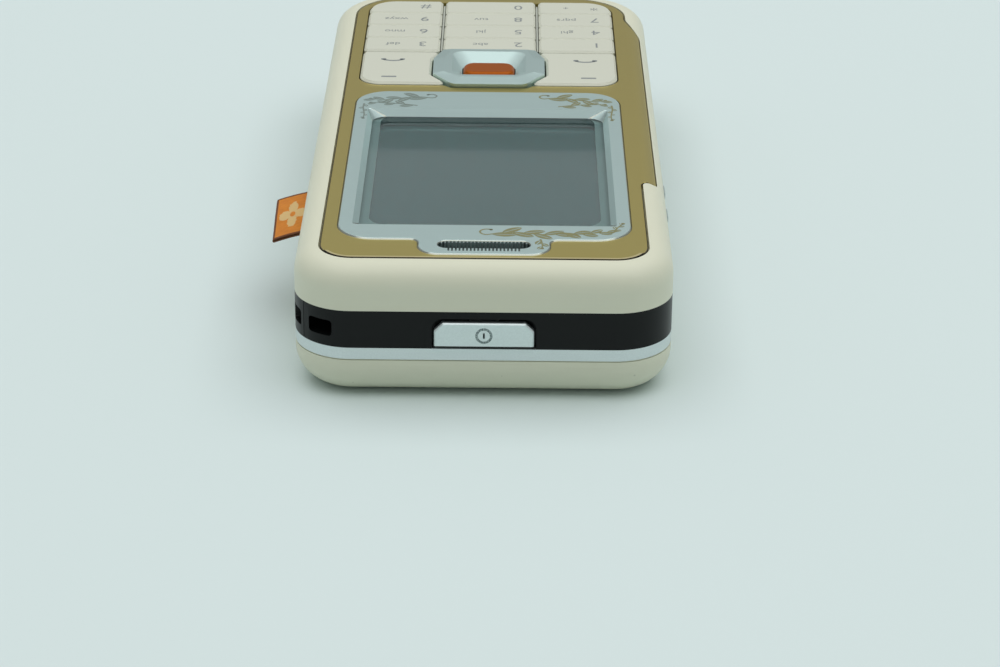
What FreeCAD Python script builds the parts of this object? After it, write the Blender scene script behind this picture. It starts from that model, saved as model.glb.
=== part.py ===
import FreeCAD, Part
import math
import os

os.makedirs("parts", exist_ok=True)

# A one-piece mobile phone, lying face up on its back, in millimetres.
# X runs across the face, from the fabric tag's side to the volume keys' side, Y from the earpiece
# end to the connector end, Z up from the table. Left and right here mean low and high X.
# The soft keys and number keys are named as the user reads them, from the connector end.
# Lengths along the phone are measured from the earpiece end, heights from the table.

Vector = FreeCAD.Vector

# Outer form
body_length = 105.0
body_width = 45.1
body_height = 17.0
earpiece_corner_radius = 7.0
connector_corner_radius = 10.0
back_edge_radius = 4.5
face_edge_radius = 3.0

# Layers of the body, from the back up
trim_level = 5.3
trim_height = 1.45
band_height = 4.75
seam_depth = 0.16
rear_wall = 1.3
rear_floor = 2.2
trim_wall = 1.3
band_wall = 1.6
front_wall = 1.4

# Stack under the face, counted down from it
plate_thickness = 0.8
deck_thickness = 1.2
display_depth = 3.5
chassis_deck_thickness = 0.8
switch_space = 2.7
board_thickness = 0.8
contact_gap = 0.05

# Gold front plate
plate_left_margin = 3.06
plate_right_margin = 1.22
plate_end_margin = 3.1
plate_far_margin = 3.6
plate_near_corner = 4.0
plate_far_corner = 8.0
plate_bend_radius = 5.0
notch_end = 27.95
notch_radius = 1.0
notch_tip_radius = 0.4
plate_taper_start = 19.8
plate_taper_end = 13.5
plate_gap = 0.16
seat_gap = 0.02
plate_chamfer = 0.15

# Display bezel and window
bezel_width = 35.44
bezel_start = 8.65
bezel_to_keys = 2.7
bezel_corner = 4.5
bezel_rise = 0.15
bezel_chamfer = 0.18
bezel_gap = 0.06
tongue_width = 15.8
tongue_start = 4.15
tongue_corner = 2.6
tongue_root_radius = 1.0
window_width = 30.6
window_start = 13.65
window_end_margin = 7.5
window_corner = 2.0
window_bevel = 0.65
window_bevel_corner = 0.4
lens_thickness = 0.8
lens_overlap = 0.9
lens_gap = 0.08
window_border = 1.1
window_border_near = 2.0
window_border_far = 1.7
window_border_near_corner = 2.6
window_border_far_corner = 1.6
module_overhang = 0.7
screen_margin = 0.6
screen_recess = 0.15

# Earpiece slot and its comb
slot_width = 11.0
slot_start = 5.98
slot_depth = 2.28
slot_end_flat = 0.02
slot_chamfer = 0.12
tooth_pitch = 0.44
tooth_gap = 0.22
tooth_length = 0.9
comb_margin = 0.15
comb_pitch = 0.44
comb_gap = 0.22
comb_rim = 1.1
earpiece_width = 13.6
earpiece_length = 6.6
earpiece_height = 2.6
earpiece_corner = 1.5

# Keys
keys_width = 35.3
keys_end_margin = 6.25
key_row_depth = 5.41
key_row_gap = 0.16
key_column_gap = 0.45
centre_column_width = 13.1
key_rise = 0.35
key_edge = 0.3
key_corner = 0.6
key_corner_cut = 0.4
key_outer_corner = 4.0
key_gap = 0.2
key_travel = 0.4
stem_width = 2.4
stem_depth = 2.0
stem_gap = 0.2
deck_hole_extra = 0.2
mat_margin = 1.6
mat_foot = 0.95
mat_rib_gap = 0.1
mat_rib_drop = 0.45
mat_rib_inset = 1.0
soft_key_depth = 12.84
soft_key_corner = 3.0
soft_to_number_gap = 0.7
rocker_stem_offset = 3.6
tilt_stem = 1.6
tilt_stem_gap = 0.45
pivot_rib_radius = 0.35
pivot_drop = 0.3

# Navigation key and centre key
nav_width = 15.4
nav_depth = 14.14
nav_reach = 0.85
nav_shoulder = 0.5
nav_rise = 0.8
nav_near_cut = 4.3
nav_near_cut_side = 2.75
nav_far_cut = 3.6
nav_far_cut_side = 1.25
nav_near_corner = 1.3
bay_corner = 0.8
nav_gap = 0.25
nav_near_slope = 2.3
nav_side_slope = 1.5
nav_far_slope = 0.5
bowl_width = 10.2
bowl_near = 3.0
bowl_far = 12.7
bowl_drop = 0.9
bowl_lip = 0.1
nav_stem_reach = 6.0
pad_width = 8.0
pad_height = 1.1
pad_corner = 1.0
pad_gap = 0.5
pad_well_gap = 0.4
pad_rib_radius = 0.3
centre_key_width = 7.1
centre_key_depth = 4.7
centre_key_near = 4.4
centre_key_corner = 1.6
centre_key_drop = 0.25
centre_key_gap = 0.15
centre_key_edge = 0.7

# Key on the earpiece end
power_key_x = 0.13
power_key_width = 11.75
power_key_height = 3.25
power_key_base = 0.15
power_key_proud = 0.3
power_key_thickness = 0.9
power_key_cut = 1.0
power_key_corner = 0.3
power_key_edge = 0.15
power_recess_side_gap = 0.27
power_recess_top_gap = 0.42
power_recess_radius = 1.2
power_recess_depth = 1.1
power_stem_width = 3.2
power_stem_height = 1.5
button_flange = 0.4
button_flange_gap = 0.15
button_flange_lip = 0.25

# Keys on the right side
volume_key_length = 2.7
volume_key_height = 1.25
volume_key_raise = 0.2
volume_key_spacing = 8.0
volume_key_place = 39.4
volume_key_proud = 0.85
volume_key_gap = 0.15
volume_key_edge = 0.4

# Strap eyelet in the corner of the band
eyelet_height = 2.0
eyelet_width = 2.8
eyelet_first = 1.95
eyelet_depth = 7.1
eyelet_side_start = 3.43
eyelet_side_width = 2.7
eyelet_raise = -0.08
eyelet_corner = 0.4
eyelet_wall = 1.0
mould_line_angle = 35.5
mould_line_radius = 0.07

# Fabric tag in the left side
tag_width = 13.4
tag_place = 22.7
tag_reach = 3.9
tag_droop = 1.2
tag_thickness = 0.5
tag_root = 1.3
tag_gap = 0.06
tag_mouth = 0.2

# Circuit board
board_side_gap = 0.7
board_corner = 4.5
dome_width = 3.0
dome_height = 0.22
dome_sheet_thickness = 0.08
dome_sheet_end = 0.5
dome_sheet_corner = 2.0
can_height = 1.9
can_start = 14.0
can_gap = 0.7
can_end_gap = 8.0

# Battery bay and cover
cover_width = 35.0
cover_start = 26.0
cover_thickness = 1.0
cover_gap = 0.12
cover_corner = 3.0
cover_travel = 8.0
lug_length = 5.0
lug_reach = 0.6
lug_height = 0.5
lug_gap = 0.12
lug_places = (8.0, 32.0, 56.0)
grip_count = 5
grip_pitch = 1.3
grip_length = 14.0
grip_width = 0.6
grip_start = 4.0
grip_depth = 0.25
bay_side_margin = 5.55
bay_start = 41.0
bay_end_margin = 9.5
bay_wall = 0.8
battery_gap = 0.15
battery_corner = 1.0
battery_top_gap = 0.6
sim_holder_width = 27.0
sim_holder_length = 17.0
sim_holder_place = 14.0
sim_holder_floor = 0.25
sim_holder_roof = 0.2
sim_holder_wall = 0.9
sim_slot_height = 0.8
contact_count = 3
contact_pitch = 2.6
contact_width = 1.0
contact_depth = 1.6
contact_lift = 0.8

# Screws
screw_x = 14.8
screw_first = 33.0
screw_end_margin = 5.5
screw_head_radius = 1.25
screw_head_height = 1.0
screw_head_level = 1.9
screw_radius = 0.7
screw_gap = 0.1
screw_cross_length = 1.5
screw_cross_width = 0.35
screw_cross_depth = 0.5
boss_width = 3.6
post_share = 0.83

# Camera and loudspeaker in the back
camera_place = 14.0
camera_width = 7.5
camera_barrel_radius = 2.6
camera_window_radius = 3.4
camera_window_thickness = 0.5
camera_window_inset = 0.1
speaker_x = 11.5
speaker_place = 13.5
speaker_radius = 5.5
speaker_height = 3.0
speaker_slot_count = 5
speaker_slot_pitch = 1.7
speaker_slot_width = 0.8
speaker_slot_corner = 0.3
speaker_slot_reach = 3.6
speaker_slot_step = 0.7
speaker_step = 1.0
speaker_step_height = 0.5
pupil_wide = 1.6
pupil_narrow = 0.8

# Vibration motor
motor_radius = 2.0
motor_length = 8.0
motor_x = 5.5
motor_place = 20.5
motor_shaft_radius = 0.35
motor_shaft_clearance = 0.05
weight_length = 2.5
weight_gap = 0.4
weight_inset = 0.15
weight_rise = 0.6

# Sockets in the connector end
jack_x = 8.0
jack_width = 4.4
jack_radius = 1.0
jack_length = 5.0
jack_back = 0.8
jack_mouth_radius = 1.3
connector_x = 2.5
connector_width = 12.0
connector_height = 2.2
connector_length = 5.0
connector_wall = 0.4
connector_back = 1.0
connector_tongue = 0.7
connector_tongue_margin = 1.2
connector_tongue_drop = 0.3
microphone_x = 11.2
microphone_radius = 1.2
microphone_hole = 0.4
microphone_length = 1.4

# Push switches behind the power key and the side keys
switch_width = 4.0
switch_depth = 1.8
switch_height = 2.0
switch_tip = 0.4
switch_tip_width = 1.4
switch_tip_height = 1.0

# Antenna carrier
antenna_inner_x = 5.0
antenna_outer_x = 17.5
antenna_start = 3.3
antenna_end = 15.0
antenna_thickness = 1.1
antenna_leg = 2.2
antenna_corner = 0.5

# Modelling helpers: how far fused blocks reach into each other, and equality of levels
reach = 0.2
sliver = 0.1
tolerance = 1e-4

# Levels worked out from the sizes above
half_width = body_width / 2
band_level = trim_level + trim_height
front_level = band_level + band_height
plate_level = body_height - plate_thickness
deck_level = plate_level - deck_thickness
chassis_top = deck_level - display_depth
chassis_level = chassis_top - chassis_deck_thickness
board_top = chassis_level - switch_space
board_level = board_top - board_thickness
bezel_top = body_height + bezel_rise
lens_level = plate_level - lens_thickness
key_top = body_height + key_rise
key_bottom = deck_level - 2 * contact_gap
stem_bottom = board_top + dome_sheet_thickness + dome_height + key_travel + contact_gap
mat_top = key_bottom - mat_foot
button_middle = (board_top + chassis_level) / 2
volume_key_level = (band_level + front_level) / 2 + volume_key_raise
travel_room = key_travel + 2 * contact_gap
pivot_level = key_bottom - pivot_drop
pad_top = key_bottom - pad_gap
pad_bottom = pad_top - pad_height


def from_top(distance):
    """Y of a place this far from the earpiece end."""
    return distance - body_length / 2


def from_bottom(distance):
    """Y of a place this far from the connector end."""
    return body_length / 2 - distance


# Places along the length worked out from the sizes above
keys_end = from_bottom(keys_end_margin)
number_start = keys_end - 4 * key_row_depth - 3 * key_row_gap
soft_end = number_start - soft_to_number_gap
soft_start = soft_end - soft_key_depth
soft_middle = (soft_start + soft_end) / 2
nav_start = soft_start - nav_reach
nav_end = nav_start + nav_depth
nav_middle = (nav_start + nav_end) / 2
bezel_end = soft_start - key_gap - bezel_to_keys
window_near = from_top(window_start)
window_far = bezel_end - window_end_margin
bay_near = from_top(bay_start)
bay_far = from_bottom(bay_end_margin)
bay_half = half_width - bay_side_margin
screw_places = (from_top(screw_first), from_bottom(screw_end_margin))


def rounded_wire(corners, height):
    """Closed flat wire through corners (x, y, radius), each rounded by its own radius."""
    arcs = []
    count = len(corners)
    for index, (x, y, radius) in enumerate(corners):
        here = Vector(x, y, height)
        last = corners[index - 1]
        following = corners[(index + 1) % count]
        back = (Vector(last[0], last[1], height) - here).normalize()
        ahead = (Vector(following[0], following[1], height) - here).normalize()
        if radius == 0:
            arcs.append((here, None, here))
            continue
        half_angle = back.getAngle(ahead) / 2
        reach = radius / math.tan(half_angle)
        inward = (back + ahead).normalize()
        centre = here + inward * (radius / math.sin(half_angle))
        arcs.append((here + back * reach, centre - inward * radius, here + ahead * reach))
    edges = []
    for index, (start, middle, end) in enumerate(arcs):
        if middle:
            edges.append(Part.Arc(start, middle, end).toShape())
        target = arcs[(index + 1) % count][0]
        if (target - end).Length > tolerance:
            edges.append(Part.LineSegment(end, target).toShape())
    return Part.Wire(edges)


def slab(wire, height):
    """Solid of a flat wire raised by a height."""
    return Part.Face(wire).extrude(Vector(0, 0, height))


def prism(corners, bottom, top, grow=0.0):
    """Solid with the rounded outline of the corners, widened all round by grow."""
    wire = rounded_wire(corners, bottom)
    if grow:
        wire = wire.makeOffset2D(grow)
    return slab(wire, top - bottom)


def box(x_low, x_high, y_low, y_high, z_low, z_high):
    """Plain block between two corners."""
    size = (x_high - x_low, y_high - y_low, z_high - z_low)
    return Part.makeBox(*size, Vector(x_low, y_low, z_low))


def rectangle(half_x, y_low, y_high, near_radius, far_radius=None, middle_x=0.0):
    """Corners of a rectangle centred on middle_x, for rounded_wire."""
    far = near_radius if far_radius is None else far_radius
    return [
        (middle_x - half_x, y_low, near_radius),
        (middle_x + half_x, y_low, near_radius),
        (middle_x + half_x, y_high, far),
        (middle_x - half_x, y_high, far),
    ]


def mirrored(shape):
    """The same shape on the other side of the middle plane."""
    return shape.mirror(Vector(0, 0, 0), Vector(1, 0, 0))


def fused(shapes):
    """One solid from touching shapes, without their common faces."""
    first, *others = shapes
    return first.fuse(others).removeSplitter()


def edges_at(shape, height):
    """Edges of a shape that lie flat at a height."""
    flat = [e for e in shape.Edges if e.BoundBox.ZLength < tolerance]
    return [e for e in flat if abs(e.BoundBox.ZMin - height) < tolerance]


def between_levels(bottom, top):
    """Block wider than the phone, between two heights."""
    return box(-body_width, body_width, -body_length, body_length, bottom, top)


def plan_block(inset):
    """Block with the rounded plan of the phone, drawn in all round by inset."""
    outline = rectangle(
        half_width - inset,
        from_top(inset),
        from_bottom(inset),
        earpiece_corner_radius - inset,
        connector_corner_radius - inset,
    )
    return prism(outline, inset, body_height - inset)


def body_form(inset=0.0):
    """The whole outer form drawn in by inset: rounded plan, rounded edges at back and face."""
    form = plan_block(inset)
    form = form.makeFillet(back_edge_radius - inset, edges_at(form, inset))
    return form.makeFillet(face_edge_radius - inset, edges_at(form, body_height - inset))


def inner_form(inset):
    """Like body_form, with bevelled edges in place of rounded ones, for hidden hollows."""
    form = plan_block(inset)
    form = form.makeChamfer(back_edge_radius - inset, edges_at(form, inset))
    return form.makeChamfer(face_edge_radius - inset, edges_at(form, body_height - inset))


def body_layer(bottom, top, inset=0.0):
    """Slice of the outer form between two heights."""
    return body_form(inset).common(between_levels(bottom, top))


def seam(height):
    """Fine groove round the body just above a height, where two layers meet."""
    ring = body_layer(height, height + seam_depth)
    return ring.cut(body_layer(height - 1, height + 1, seam_depth))


# Outlines shared by pieces that fit each other

def plate_outline():
    """Front plate: narrower on the right beside the notch, wider beyond it, drawn in at the far end."""
    left = -half_width + plate_left_margin
    right_near = half_width - plate_left_margin
    right_far = half_width - plate_right_margin
    near = from_top(plate_end_margin)
    far = from_bottom(plate_far_margin)
    return [
        (left, near, plate_near_corner),
        (right_near, near, plate_near_corner),
        (right_near, from_top(notch_end), notch_radius),
        (right_far, from_top(notch_end), notch_tip_radius),
        (right_far, from_bottom(plate_taper_start), plate_bend_radius),
        (right_near, from_bottom(plate_taper_end), plate_bend_radius),
        (right_near, far, plate_far_corner),
        (left, far, plate_far_corner),
    ]


def bezel_outline():
    """Display bezel with the tongue that carries the earpiece slot."""
    half = bezel_width / 2
    tongue = tongue_width / 2
    near = from_top(bezel_start)
    tip = from_top(tongue_start)
    return [
        (-half, near, bezel_corner),
        (-tongue, near, tongue_root_radius),
        (-tongue, tip, tongue_corner),
        (tongue, tip, tongue_corner),
        (tongue, near, tongue_root_radius),
        (half, near, bezel_corner),
        (half, bezel_end, bezel_corner),
        (-half, bezel_end, bezel_corner),
    ]


def window_outline(grow=0.0):
    """Opening of the bezel over the display."""
    return rectangle(
        window_width / 2 + grow, window_near - grow, window_far + grow, window_corner + grow
    )


def slot_outline(grow=0.0):
    """Earpiece slot with round ends."""
    near = from_top(slot_start)
    radius = slot_depth / 2 + grow - slot_end_flat / 2
    return rectangle(slot_width / 2 + grow, near - grow, near + slot_depth + grow, radius)


def border_outline(grow=0.0):
    """Inner edge of the border that shows round the screen."""
    return rectangle(
        window_width / 2 - window_border + grow,
        window_near + window_border_near - grow,
        window_far - window_border_far + grow,
        window_border_near_corner + grow,
        window_border_far_corner + grow,
    )


def lens_outline():
    """Window pane, held under the bezel all round."""
    return window_outline(lens_overlap)


def nav_outline(side_slope=0.0, near_slope=0.0, far_slope=0.0):
    """Navigation key: eight-sided, with longer cuts at its near corners."""
    half = nav_width / 2 - side_slope
    near = nav_start + near_slope
    far = nav_end - far_slope
    share = half / (nav_width / 2)
    near_cut = nav_near_cut - near_slope
    near_half = half - nav_near_cut_side * share
    far_half = half - nav_far_cut_side * share
    return [
        (-near_half, near, nav_near_corner * share),
        (near_half, near, nav_near_corner * share),
        (half, near + near_cut, 0),
        (half, far - nav_far_cut, 0),
        (far_half, far, 0),
        (-far_half, far, 0),
        (-half, far - nav_far_cut, 0),
        (-half, near + near_cut, 0),
    ]


def keys_opening():
    """Opening in the face for all the keys, with the bay that the navigation key reaches into."""
    half = keys_width / 2 + key_gap
    near = soft_start - key_gap
    bay_edge = nav_start - nav_gap
    bay_tip = nav_width / 2 - nav_near_cut_side + nav_gap
    bay_root = bay_tip + nav_near_cut_side * nav_reach / nav_near_cut + nav_gap
    far = keys_end + key_gap
    outer = key_outer_corner + key_gap
    return [
        (-half, near, soft_key_corner + key_gap),
        (-bay_root, near, 0),
        (-bay_tip, bay_edge, bay_corner),
        (bay_tip, bay_edge, bay_corner),
        (bay_root, near, 0),
        (half, near, soft_key_corner + key_gap),
        (half, far, outer),
        (-half, far, outer),
    ]


# Places of the keys and of the stems under them

def number_columns():
    """Low and high x of the three columns of number keys."""
    inner = centre_column_width / 2
    outer = keys_width / 2
    return [(-outer, -inner - key_column_gap), (-inner, inner), (inner + key_column_gap, outer)]


def number_rows():
    """Low and high y of the four rows of number keys."""
    pitch = key_row_depth + key_row_gap
    return [(number_start + row * pitch, number_start + row * pitch + key_row_depth) for row in range(4)]


def number_stems():
    """Middle of each number key, row by row."""
    return [
        ((left + right) / 2, (near + far) / 2)
        for near, far in number_rows()
        for left, right in number_columns()
    ]


def soft_key_middle():
    """Distance of a soft key's middle from the middle of the phone."""
    return (keys_width / 2 + nav_width / 2 + nav_gap) / 2


def tilt_stems():
    """Stems of the pieces that tilt: two on each soft key and four on the navigation key."""
    soft_x = soft_key_middle()
    places = [(side * soft_x, soft_middle + end * rocker_stem_offset) for side in (-1, 1) for end in (-1, 1)]
    places += [(0.0, nav_middle - nav_stem_reach), (0.0, nav_middle + nav_stem_reach)]
    places += [(-nav_stem_reach, nav_middle), (nav_stem_reach, nav_middle)]
    return places


def centre_key_middle():
    """Y of the middle of the centre key."""
    return nav_start + centre_key_near + centre_key_depth / 2


def stem(x, y, width, depth, bottom, top):
    """Square stem centred on a place."""
    return box(x - width / 2, x + width / 2, y - depth / 2, y + depth / 2, bottom, top)


def stem_holes(bottom, top, extra=0.0):
    """Clearance holes for all stems, wider by extra all round."""
    wide = 2 * (stem_gap + extra)
    holes = [
        stem(x, y, stem_width + wide, stem_depth + wide, bottom, top) for x, y in number_stems()
    ]
    wide = 2 * (tilt_stem_gap + extra)
    holes += [
        stem(x, y, tilt_stem + wide, tilt_stem + wide, bottom, top) for x, y in tilt_stems()
    ]
    middle = centre_key_middle()
    holes.append(stem(0, middle, stem_width + wide, stem_depth + wide, bottom, top))
    return holes


# Housing

def screw_column(radius, bottom, top):
    """One upright cylinder at each screw."""
    return [
        Part.makeCylinder(radius, top - bottom, Vector(side * screw_x, y, bottom))
        for side in (-1, 1)
        for y in screw_places
    ]


def screw_posts(width, bottom, top):
    """One square post at each screw."""
    return [stem(side * screw_x, y, width, width, bottom, top) for side in (-1, 1) for y in screw_places]


def cover_outline(grow=0.0):
    """Battery cover in plan; it runs out over the connector end."""
    half = cover_width / 2 + grow
    near = from_top(cover_start) - grow
    return rectangle(half, near, body_length, cover_corner + grow, 0)


def lug_block(travel, gap):
    """Side lugs of the battery cover, or their pockets when given the travel and a gap."""
    blocks = []
    inner = cover_width / 2 - gap
    outer = cover_width / 2 + lug_reach + gap
    top = cover_thickness + gap / 2
    bottom = cover_thickness - lug_height - gap
    for place in lug_places:
        near = from_top(cover_start + place) - gap
        far = near + lug_length + travel + 2 * gap
        for low, high in ((-outer, -inner), (inner, outer)):
            blocks.append(box(low, high, near, far, bottom, top))
    return blocks


def rear_shell():
    """Lower housing: rounded tray with the battery bay, bosses, camera and loudspeaker openings."""
    shell = body_layer(0, trim_level)
    hollow = inner_form(rear_wall).common(between_levels(rear_floor, trim_level + 1))
    far_wall = from_bottom(cover_thickness + back_edge_radius - rear_wall)
    hollow = hollow.common(box(-body_width, body_width, -body_length, far_wall, 0, body_height))
    bay_block = box(
        -bay_half - bay_wall,
        bay_half + bay_wall,
        bay_near - bay_wall,
        bay_far + bay_wall,
        0,
        trim_level + 2,
    )
    shell = shell.cut(hollow.cut(bay_block))
    shell = shell.fuse(screw_posts(boss_width, rear_floor - reach, board_level))
    shell = shell.cut(box(-bay_half, bay_half, bay_near, bay_far, -1, trim_level + 3))
    window_half = contact_count * contact_pitch / 2 + battery_gap
    window_back = bay_near - bay_wall - sliver
    shell = shell.cut(
        box(-window_half, window_half, window_back, bay_near + sliver, rear_floor, trim_level + 1)
    )
    recess = prism(cover_outline(cover_gap), -1, trim_level + 1)
    recess = recess.cut(inner_form(cover_thickness + contact_gap))
    shell = shell.cut(recess)
    shell = shell.cut(lug_block(cover_travel, lug_gap))
    shell = shell.cut(screw_posts(2 * (screw_radius + screw_gap), 0, body_height))
    shell = shell.cut(screw_column(screw_head_radius + screw_gap, 0, screw_head_level + screw_head_height))
    shell = shell.cut(camera_openings())
    shell = shell.cut(speaker_slots())
    shell = shell.cut(seam(trim_level - seam_depth))
    return shell.removeSplitter()


def camera_openings():
    """Recess of the camera window and the hole of its barrel."""
    y = from_top(camera_place)
    recess_depth = camera_window_inset + camera_window_thickness
    recess = Part.makeCylinder(camera_window_radius + contact_gap, recess_depth + 1, Vector(0, y, -1))
    hole = Part.makeCylinder(camera_barrel_radius + contact_gap, rear_floor + 2, Vector(0, y, -1))
    return [recess, hole]


def speaker_slots():
    """Row of sound slots under the loudspeaker."""
    y = from_top(speaker_place)
    first = -speaker_x - (speaker_slot_count - 1) * speaker_slot_pitch / 2
    slots = []
    for index in range(speaker_slot_count):
        x = first + index * speaker_slot_pitch
        steps_from_middle = abs(index - (speaker_slot_count - 1) / 2)
        half = speaker_slot_reach - steps_from_middle * speaker_slot_step
        corners = rectangle(speaker_slot_width / 2, y - half, y + half, speaker_slot_corner, None, x)
        slots.append(prism(corners, -1, rear_floor + 1))
    return slots


def trim_ring():
    """Silver strip between the lower housing and the band."""
    return body_layer(trim_level, band_level).cut(plan_block(trim_wall))


def strap_corner():
    """Inner x and y of the block that holds the eyelet."""
    x = -half_width + eyelet_first + eyelet_width + eyelet_wall
    return x, from_top(eyelet_depth + eyelet_wall)


def strap_tunnel():
    """Two mouths that meet behind a post at the corner of the band."""
    middle = (band_level + front_level) / 2 + eyelet_raise
    low = middle - eyelet_height / 2
    high = middle + eyelet_height / 2
    left = -half_width + eyelet_first
    right = left + eyelet_width
    outline = upright_rectangle(left, right, low, high, eyelet_corner)
    end_mouth = end_prism(outline, from_top(-1), from_top(eyelet_depth))
    near = from_top(eyelet_side_start)
    outline = upright_rectangle(near, near + eyelet_side_width, low, high, eyelet_corner)
    return end_mouth.fuse(side_prism(outline, -half_width - 1, right))


def mould_line():
    """Fine upright groove at the corner of the band, beside the post of the eyelet."""
    radius = earpiece_corner_radius
    angle = math.radians(mould_line_angle)
    x = -half_width + radius - radius * math.cos(angle)
    y = from_top(radius) - radius * math.sin(angle)
    return Part.makeCylinder(mould_line_radius, band_height, Vector(x, y, band_level))


def power_recess():
    """Recess and stem hole of the key on the earpiece end."""
    half = power_key_width / 2 + power_recess_side_gap
    left = power_key_x - half
    right = power_key_x + half
    top = band_level + power_key_base + power_key_height + power_recess_top_gap
    corners = [
        (left, band_level, 0),
        (right, band_level, 0),
        (right, top, power_recess_radius),
        (left, top, power_recess_radius),
    ]
    recess = end_prism(corners, from_top(-1), from_top(power_recess_depth))
    hole = box(
        power_key_x - power_stem_width / 2 - volume_key_gap,
        power_key_x + power_stem_width / 2 + volume_key_gap,
        from_top(0),
        from_top(band_wall + 1),
        button_middle - power_stem_height / 2 - volume_key_gap,
        button_middle + power_stem_height / 2 + volume_key_gap,
    )
    return [recess, hole]


def end_prism(corners, y_low, y_high):
    """Solid with an outline in the end view (x, z, radius), from one y to another."""
    wire = rounded_wire(corners, 0)
    solid = slab(wire, y_high - y_low)
    solid.rotate(Vector(0, 0, 0), Vector(1, 0, 0), 90)
    solid.translate(Vector(0, y_high, 0))
    return solid


def side_prism(corners, x_low, x_high):
    """Solid with an outline in the side view (y, z, radius), from one x to another."""
    solid = end_prism(corners, -x_high, -x_low)
    solid.rotate(Vector(0, 0, 0), Vector(0, 0, 1), 90)
    return solid


def upright_rectangle(first, last, low, high, radius):
    """Corners of an upright opening, for end_prism and side_prism."""
    return [(first, low, radius), (last, low, radius), (last, high, radius), (first, high, radius)]


def volume_places():
    """Y of the middle of each side key."""
    middle = from_top(volume_key_place)
    return (middle - volume_key_spacing / 2, middle + volume_key_spacing / 2)


def volume_openings():
    """Holes in the right wall for the side keys."""
    half_length = volume_key_length / 2 + volume_key_gap
    half_height = volume_key_height / 2 + volume_key_gap
    return [
        box(
            half_width - band_wall - 1,
            half_width + 1,
            y - half_length,
            y + half_length,
            volume_key_level - half_height,
            volume_key_level + half_height,
        )
        for y in volume_places()
    ]


def socket_openings():
    """Mouths of the charging socket, the system connector and the microphone."""
    inner = from_bottom(band_wall + 1)
    depth = band_wall + 3
    jack = Part.makeCylinder(
        jack_mouth_radius, depth, Vector(-jack_x, inner, button_middle), Vector(0, 1, 0)
    )
    connector = box(
        connector_x - connector_width / 2,
        connector_x + connector_width / 2,
        inner,
        inner + depth,
        button_middle - connector_height / 2,
        button_middle + connector_height / 2,
    )
    microphone = Part.makeCylinder(
        microphone_hole, depth, Vector(microphone_x, inner, button_middle), Vector(0, 1, 0)
    )
    return [jack, connector, microphone]


def mid_chassis():
    """Black band with its inner deck, screw posts, strap corner and side openings."""
    ring = body_layer(band_level, front_level).cut(plan_block(band_wall))
    deck = plan_block(band_wall - sliver).common(between_levels(chassis_level, chassis_top))
    chassis = ring.fuse(deck)
    corner_x, corner_y = strap_corner()
    corner = body_layer(band_level, front_level).common(
        box(-half_width, corner_x, from_top(0), corner_y, 0, body_height)
    )
    posts = screw_posts(boss_width * post_share, board_top, chassis_level + sliver)
    chassis = chassis.fuse([corner] + posts)
    chassis = chassis.cut(stem_holes(chassis_level - 1, chassis_top + 1, deck_hole_extra))
    chassis = chassis.cut(screw_posts(2 * (screw_radius + contact_gap), board_top - 1, chassis_level))
    openings = [strap_tunnel(), mould_line()] + power_recess() + volume_openings()
    chassis = chassis.cut(openings + socket_openings())
    return chassis.removeSplitter()


def tag_notch():
    """Slit in the left wall of the upper housing for the fabric tag."""
    near = from_top(tag_place) - tag_gap
    far = near + tag_width + 2 * tag_gap
    return box(
        -half_width - 1,
        -half_width + front_wall + reach,
        near,
        far,
        front_level - 1,
        front_level + tag_thickness + 2 * tag_gap,
    )


def front_shell():
    """Upper housing: rounded rim, deck under the plate, openings for window, earpiece and keys."""
    shell = body_layer(front_level, body_height)
    shell = shell.cut(inner_form(front_wall).common(between_levels(front_level - 1, deck_level)))
    recess = prism(plate_outline(), front_level + 1, body_height + 1, plate_gap)
    recess = recess.cut(body_form(plate_thickness + seat_gap))
    shell = shell.cut(recess)
    openings = [
        prism(lens_outline(), deck_level - 1, body_height, lens_gap),
        prism(slot_outline(comb_rim + contact_gap), deck_level - 1, body_height),
        prism(keys_opening(), deck_level - 1, body_height),
        tag_notch(),
    ]
    return shell.cut(openings).removeSplitter()


def front_plate():
    """Gold skin of the face; it follows the rounded edge on the right, past the notch."""
    blank = prism(plate_outline(), front_level + 1, body_height)
    blank = blank.makeChamfer(plate_chamfer, edges_at(blank, body_height))
    plate = body_form().common(blank)
    plate = plate.cut(body_form(plate_thickness))
    openings = [
        prism(bezel_outline(), deck_level, body_height + 1, bezel_gap),
        prism(keys_opening(), deck_level, body_height + 1),
    ]
    return plate.cut(openings).removeSplitter()


# Display

def display_bezel():
    """Silver frame: tongue with the slot, polished outer chamfer, bevel down to the window."""
    bezel = prism(bezel_outline(), plate_level, bezel_top)
    bezel = bezel.makeChamfer(bezel_chamfer, edges_at(bezel, bezel_top))
    low = rounded_wire(window_outline(), plate_level)
    rim = rectangle(
        window_width / 2 + window_bevel,
        window_near - window_bevel,
        window_far + window_bevel,
        window_bevel_corner,
    )
    high = rounded_wire(rim, bezel_top)
    bevel = Part.makeLoft([low, high], True, True)
    slot = prism(slot_outline(), plate_level - 1, bezel_top + 1)
    bezel = bezel.cut([bevel, slot])
    inside = slot.BoundBox
    slot_rim = [e for e in edges_at(bezel, bezel_top) if inside.isInside(e.BoundBox)]
    return bezel.makeChamfer(slot_chamfer, slot_rim).cut(slot_teeth())


def slot_teeth():
    """Row of fine notches in the near edge of the earpiece slot."""
    near = from_top(slot_start)
    straight = slot_width - slot_depth
    count = int(straight / tooth_pitch) + 1
    first = -(count - 1) * tooth_pitch / 2
    half = tooth_gap / 2
    teeth = []
    for index in range(count):
        x = first + index * tooth_pitch
        low = near - tooth_length
        teeth.append(box(x - half, x + half, low, near + reach, plate_level - 1, bezel_top + 1))
    return teeth


def display_window():
    """Clear pane under the bezel."""
    return prism(lens_outline(), lens_level, plate_level)


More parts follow.
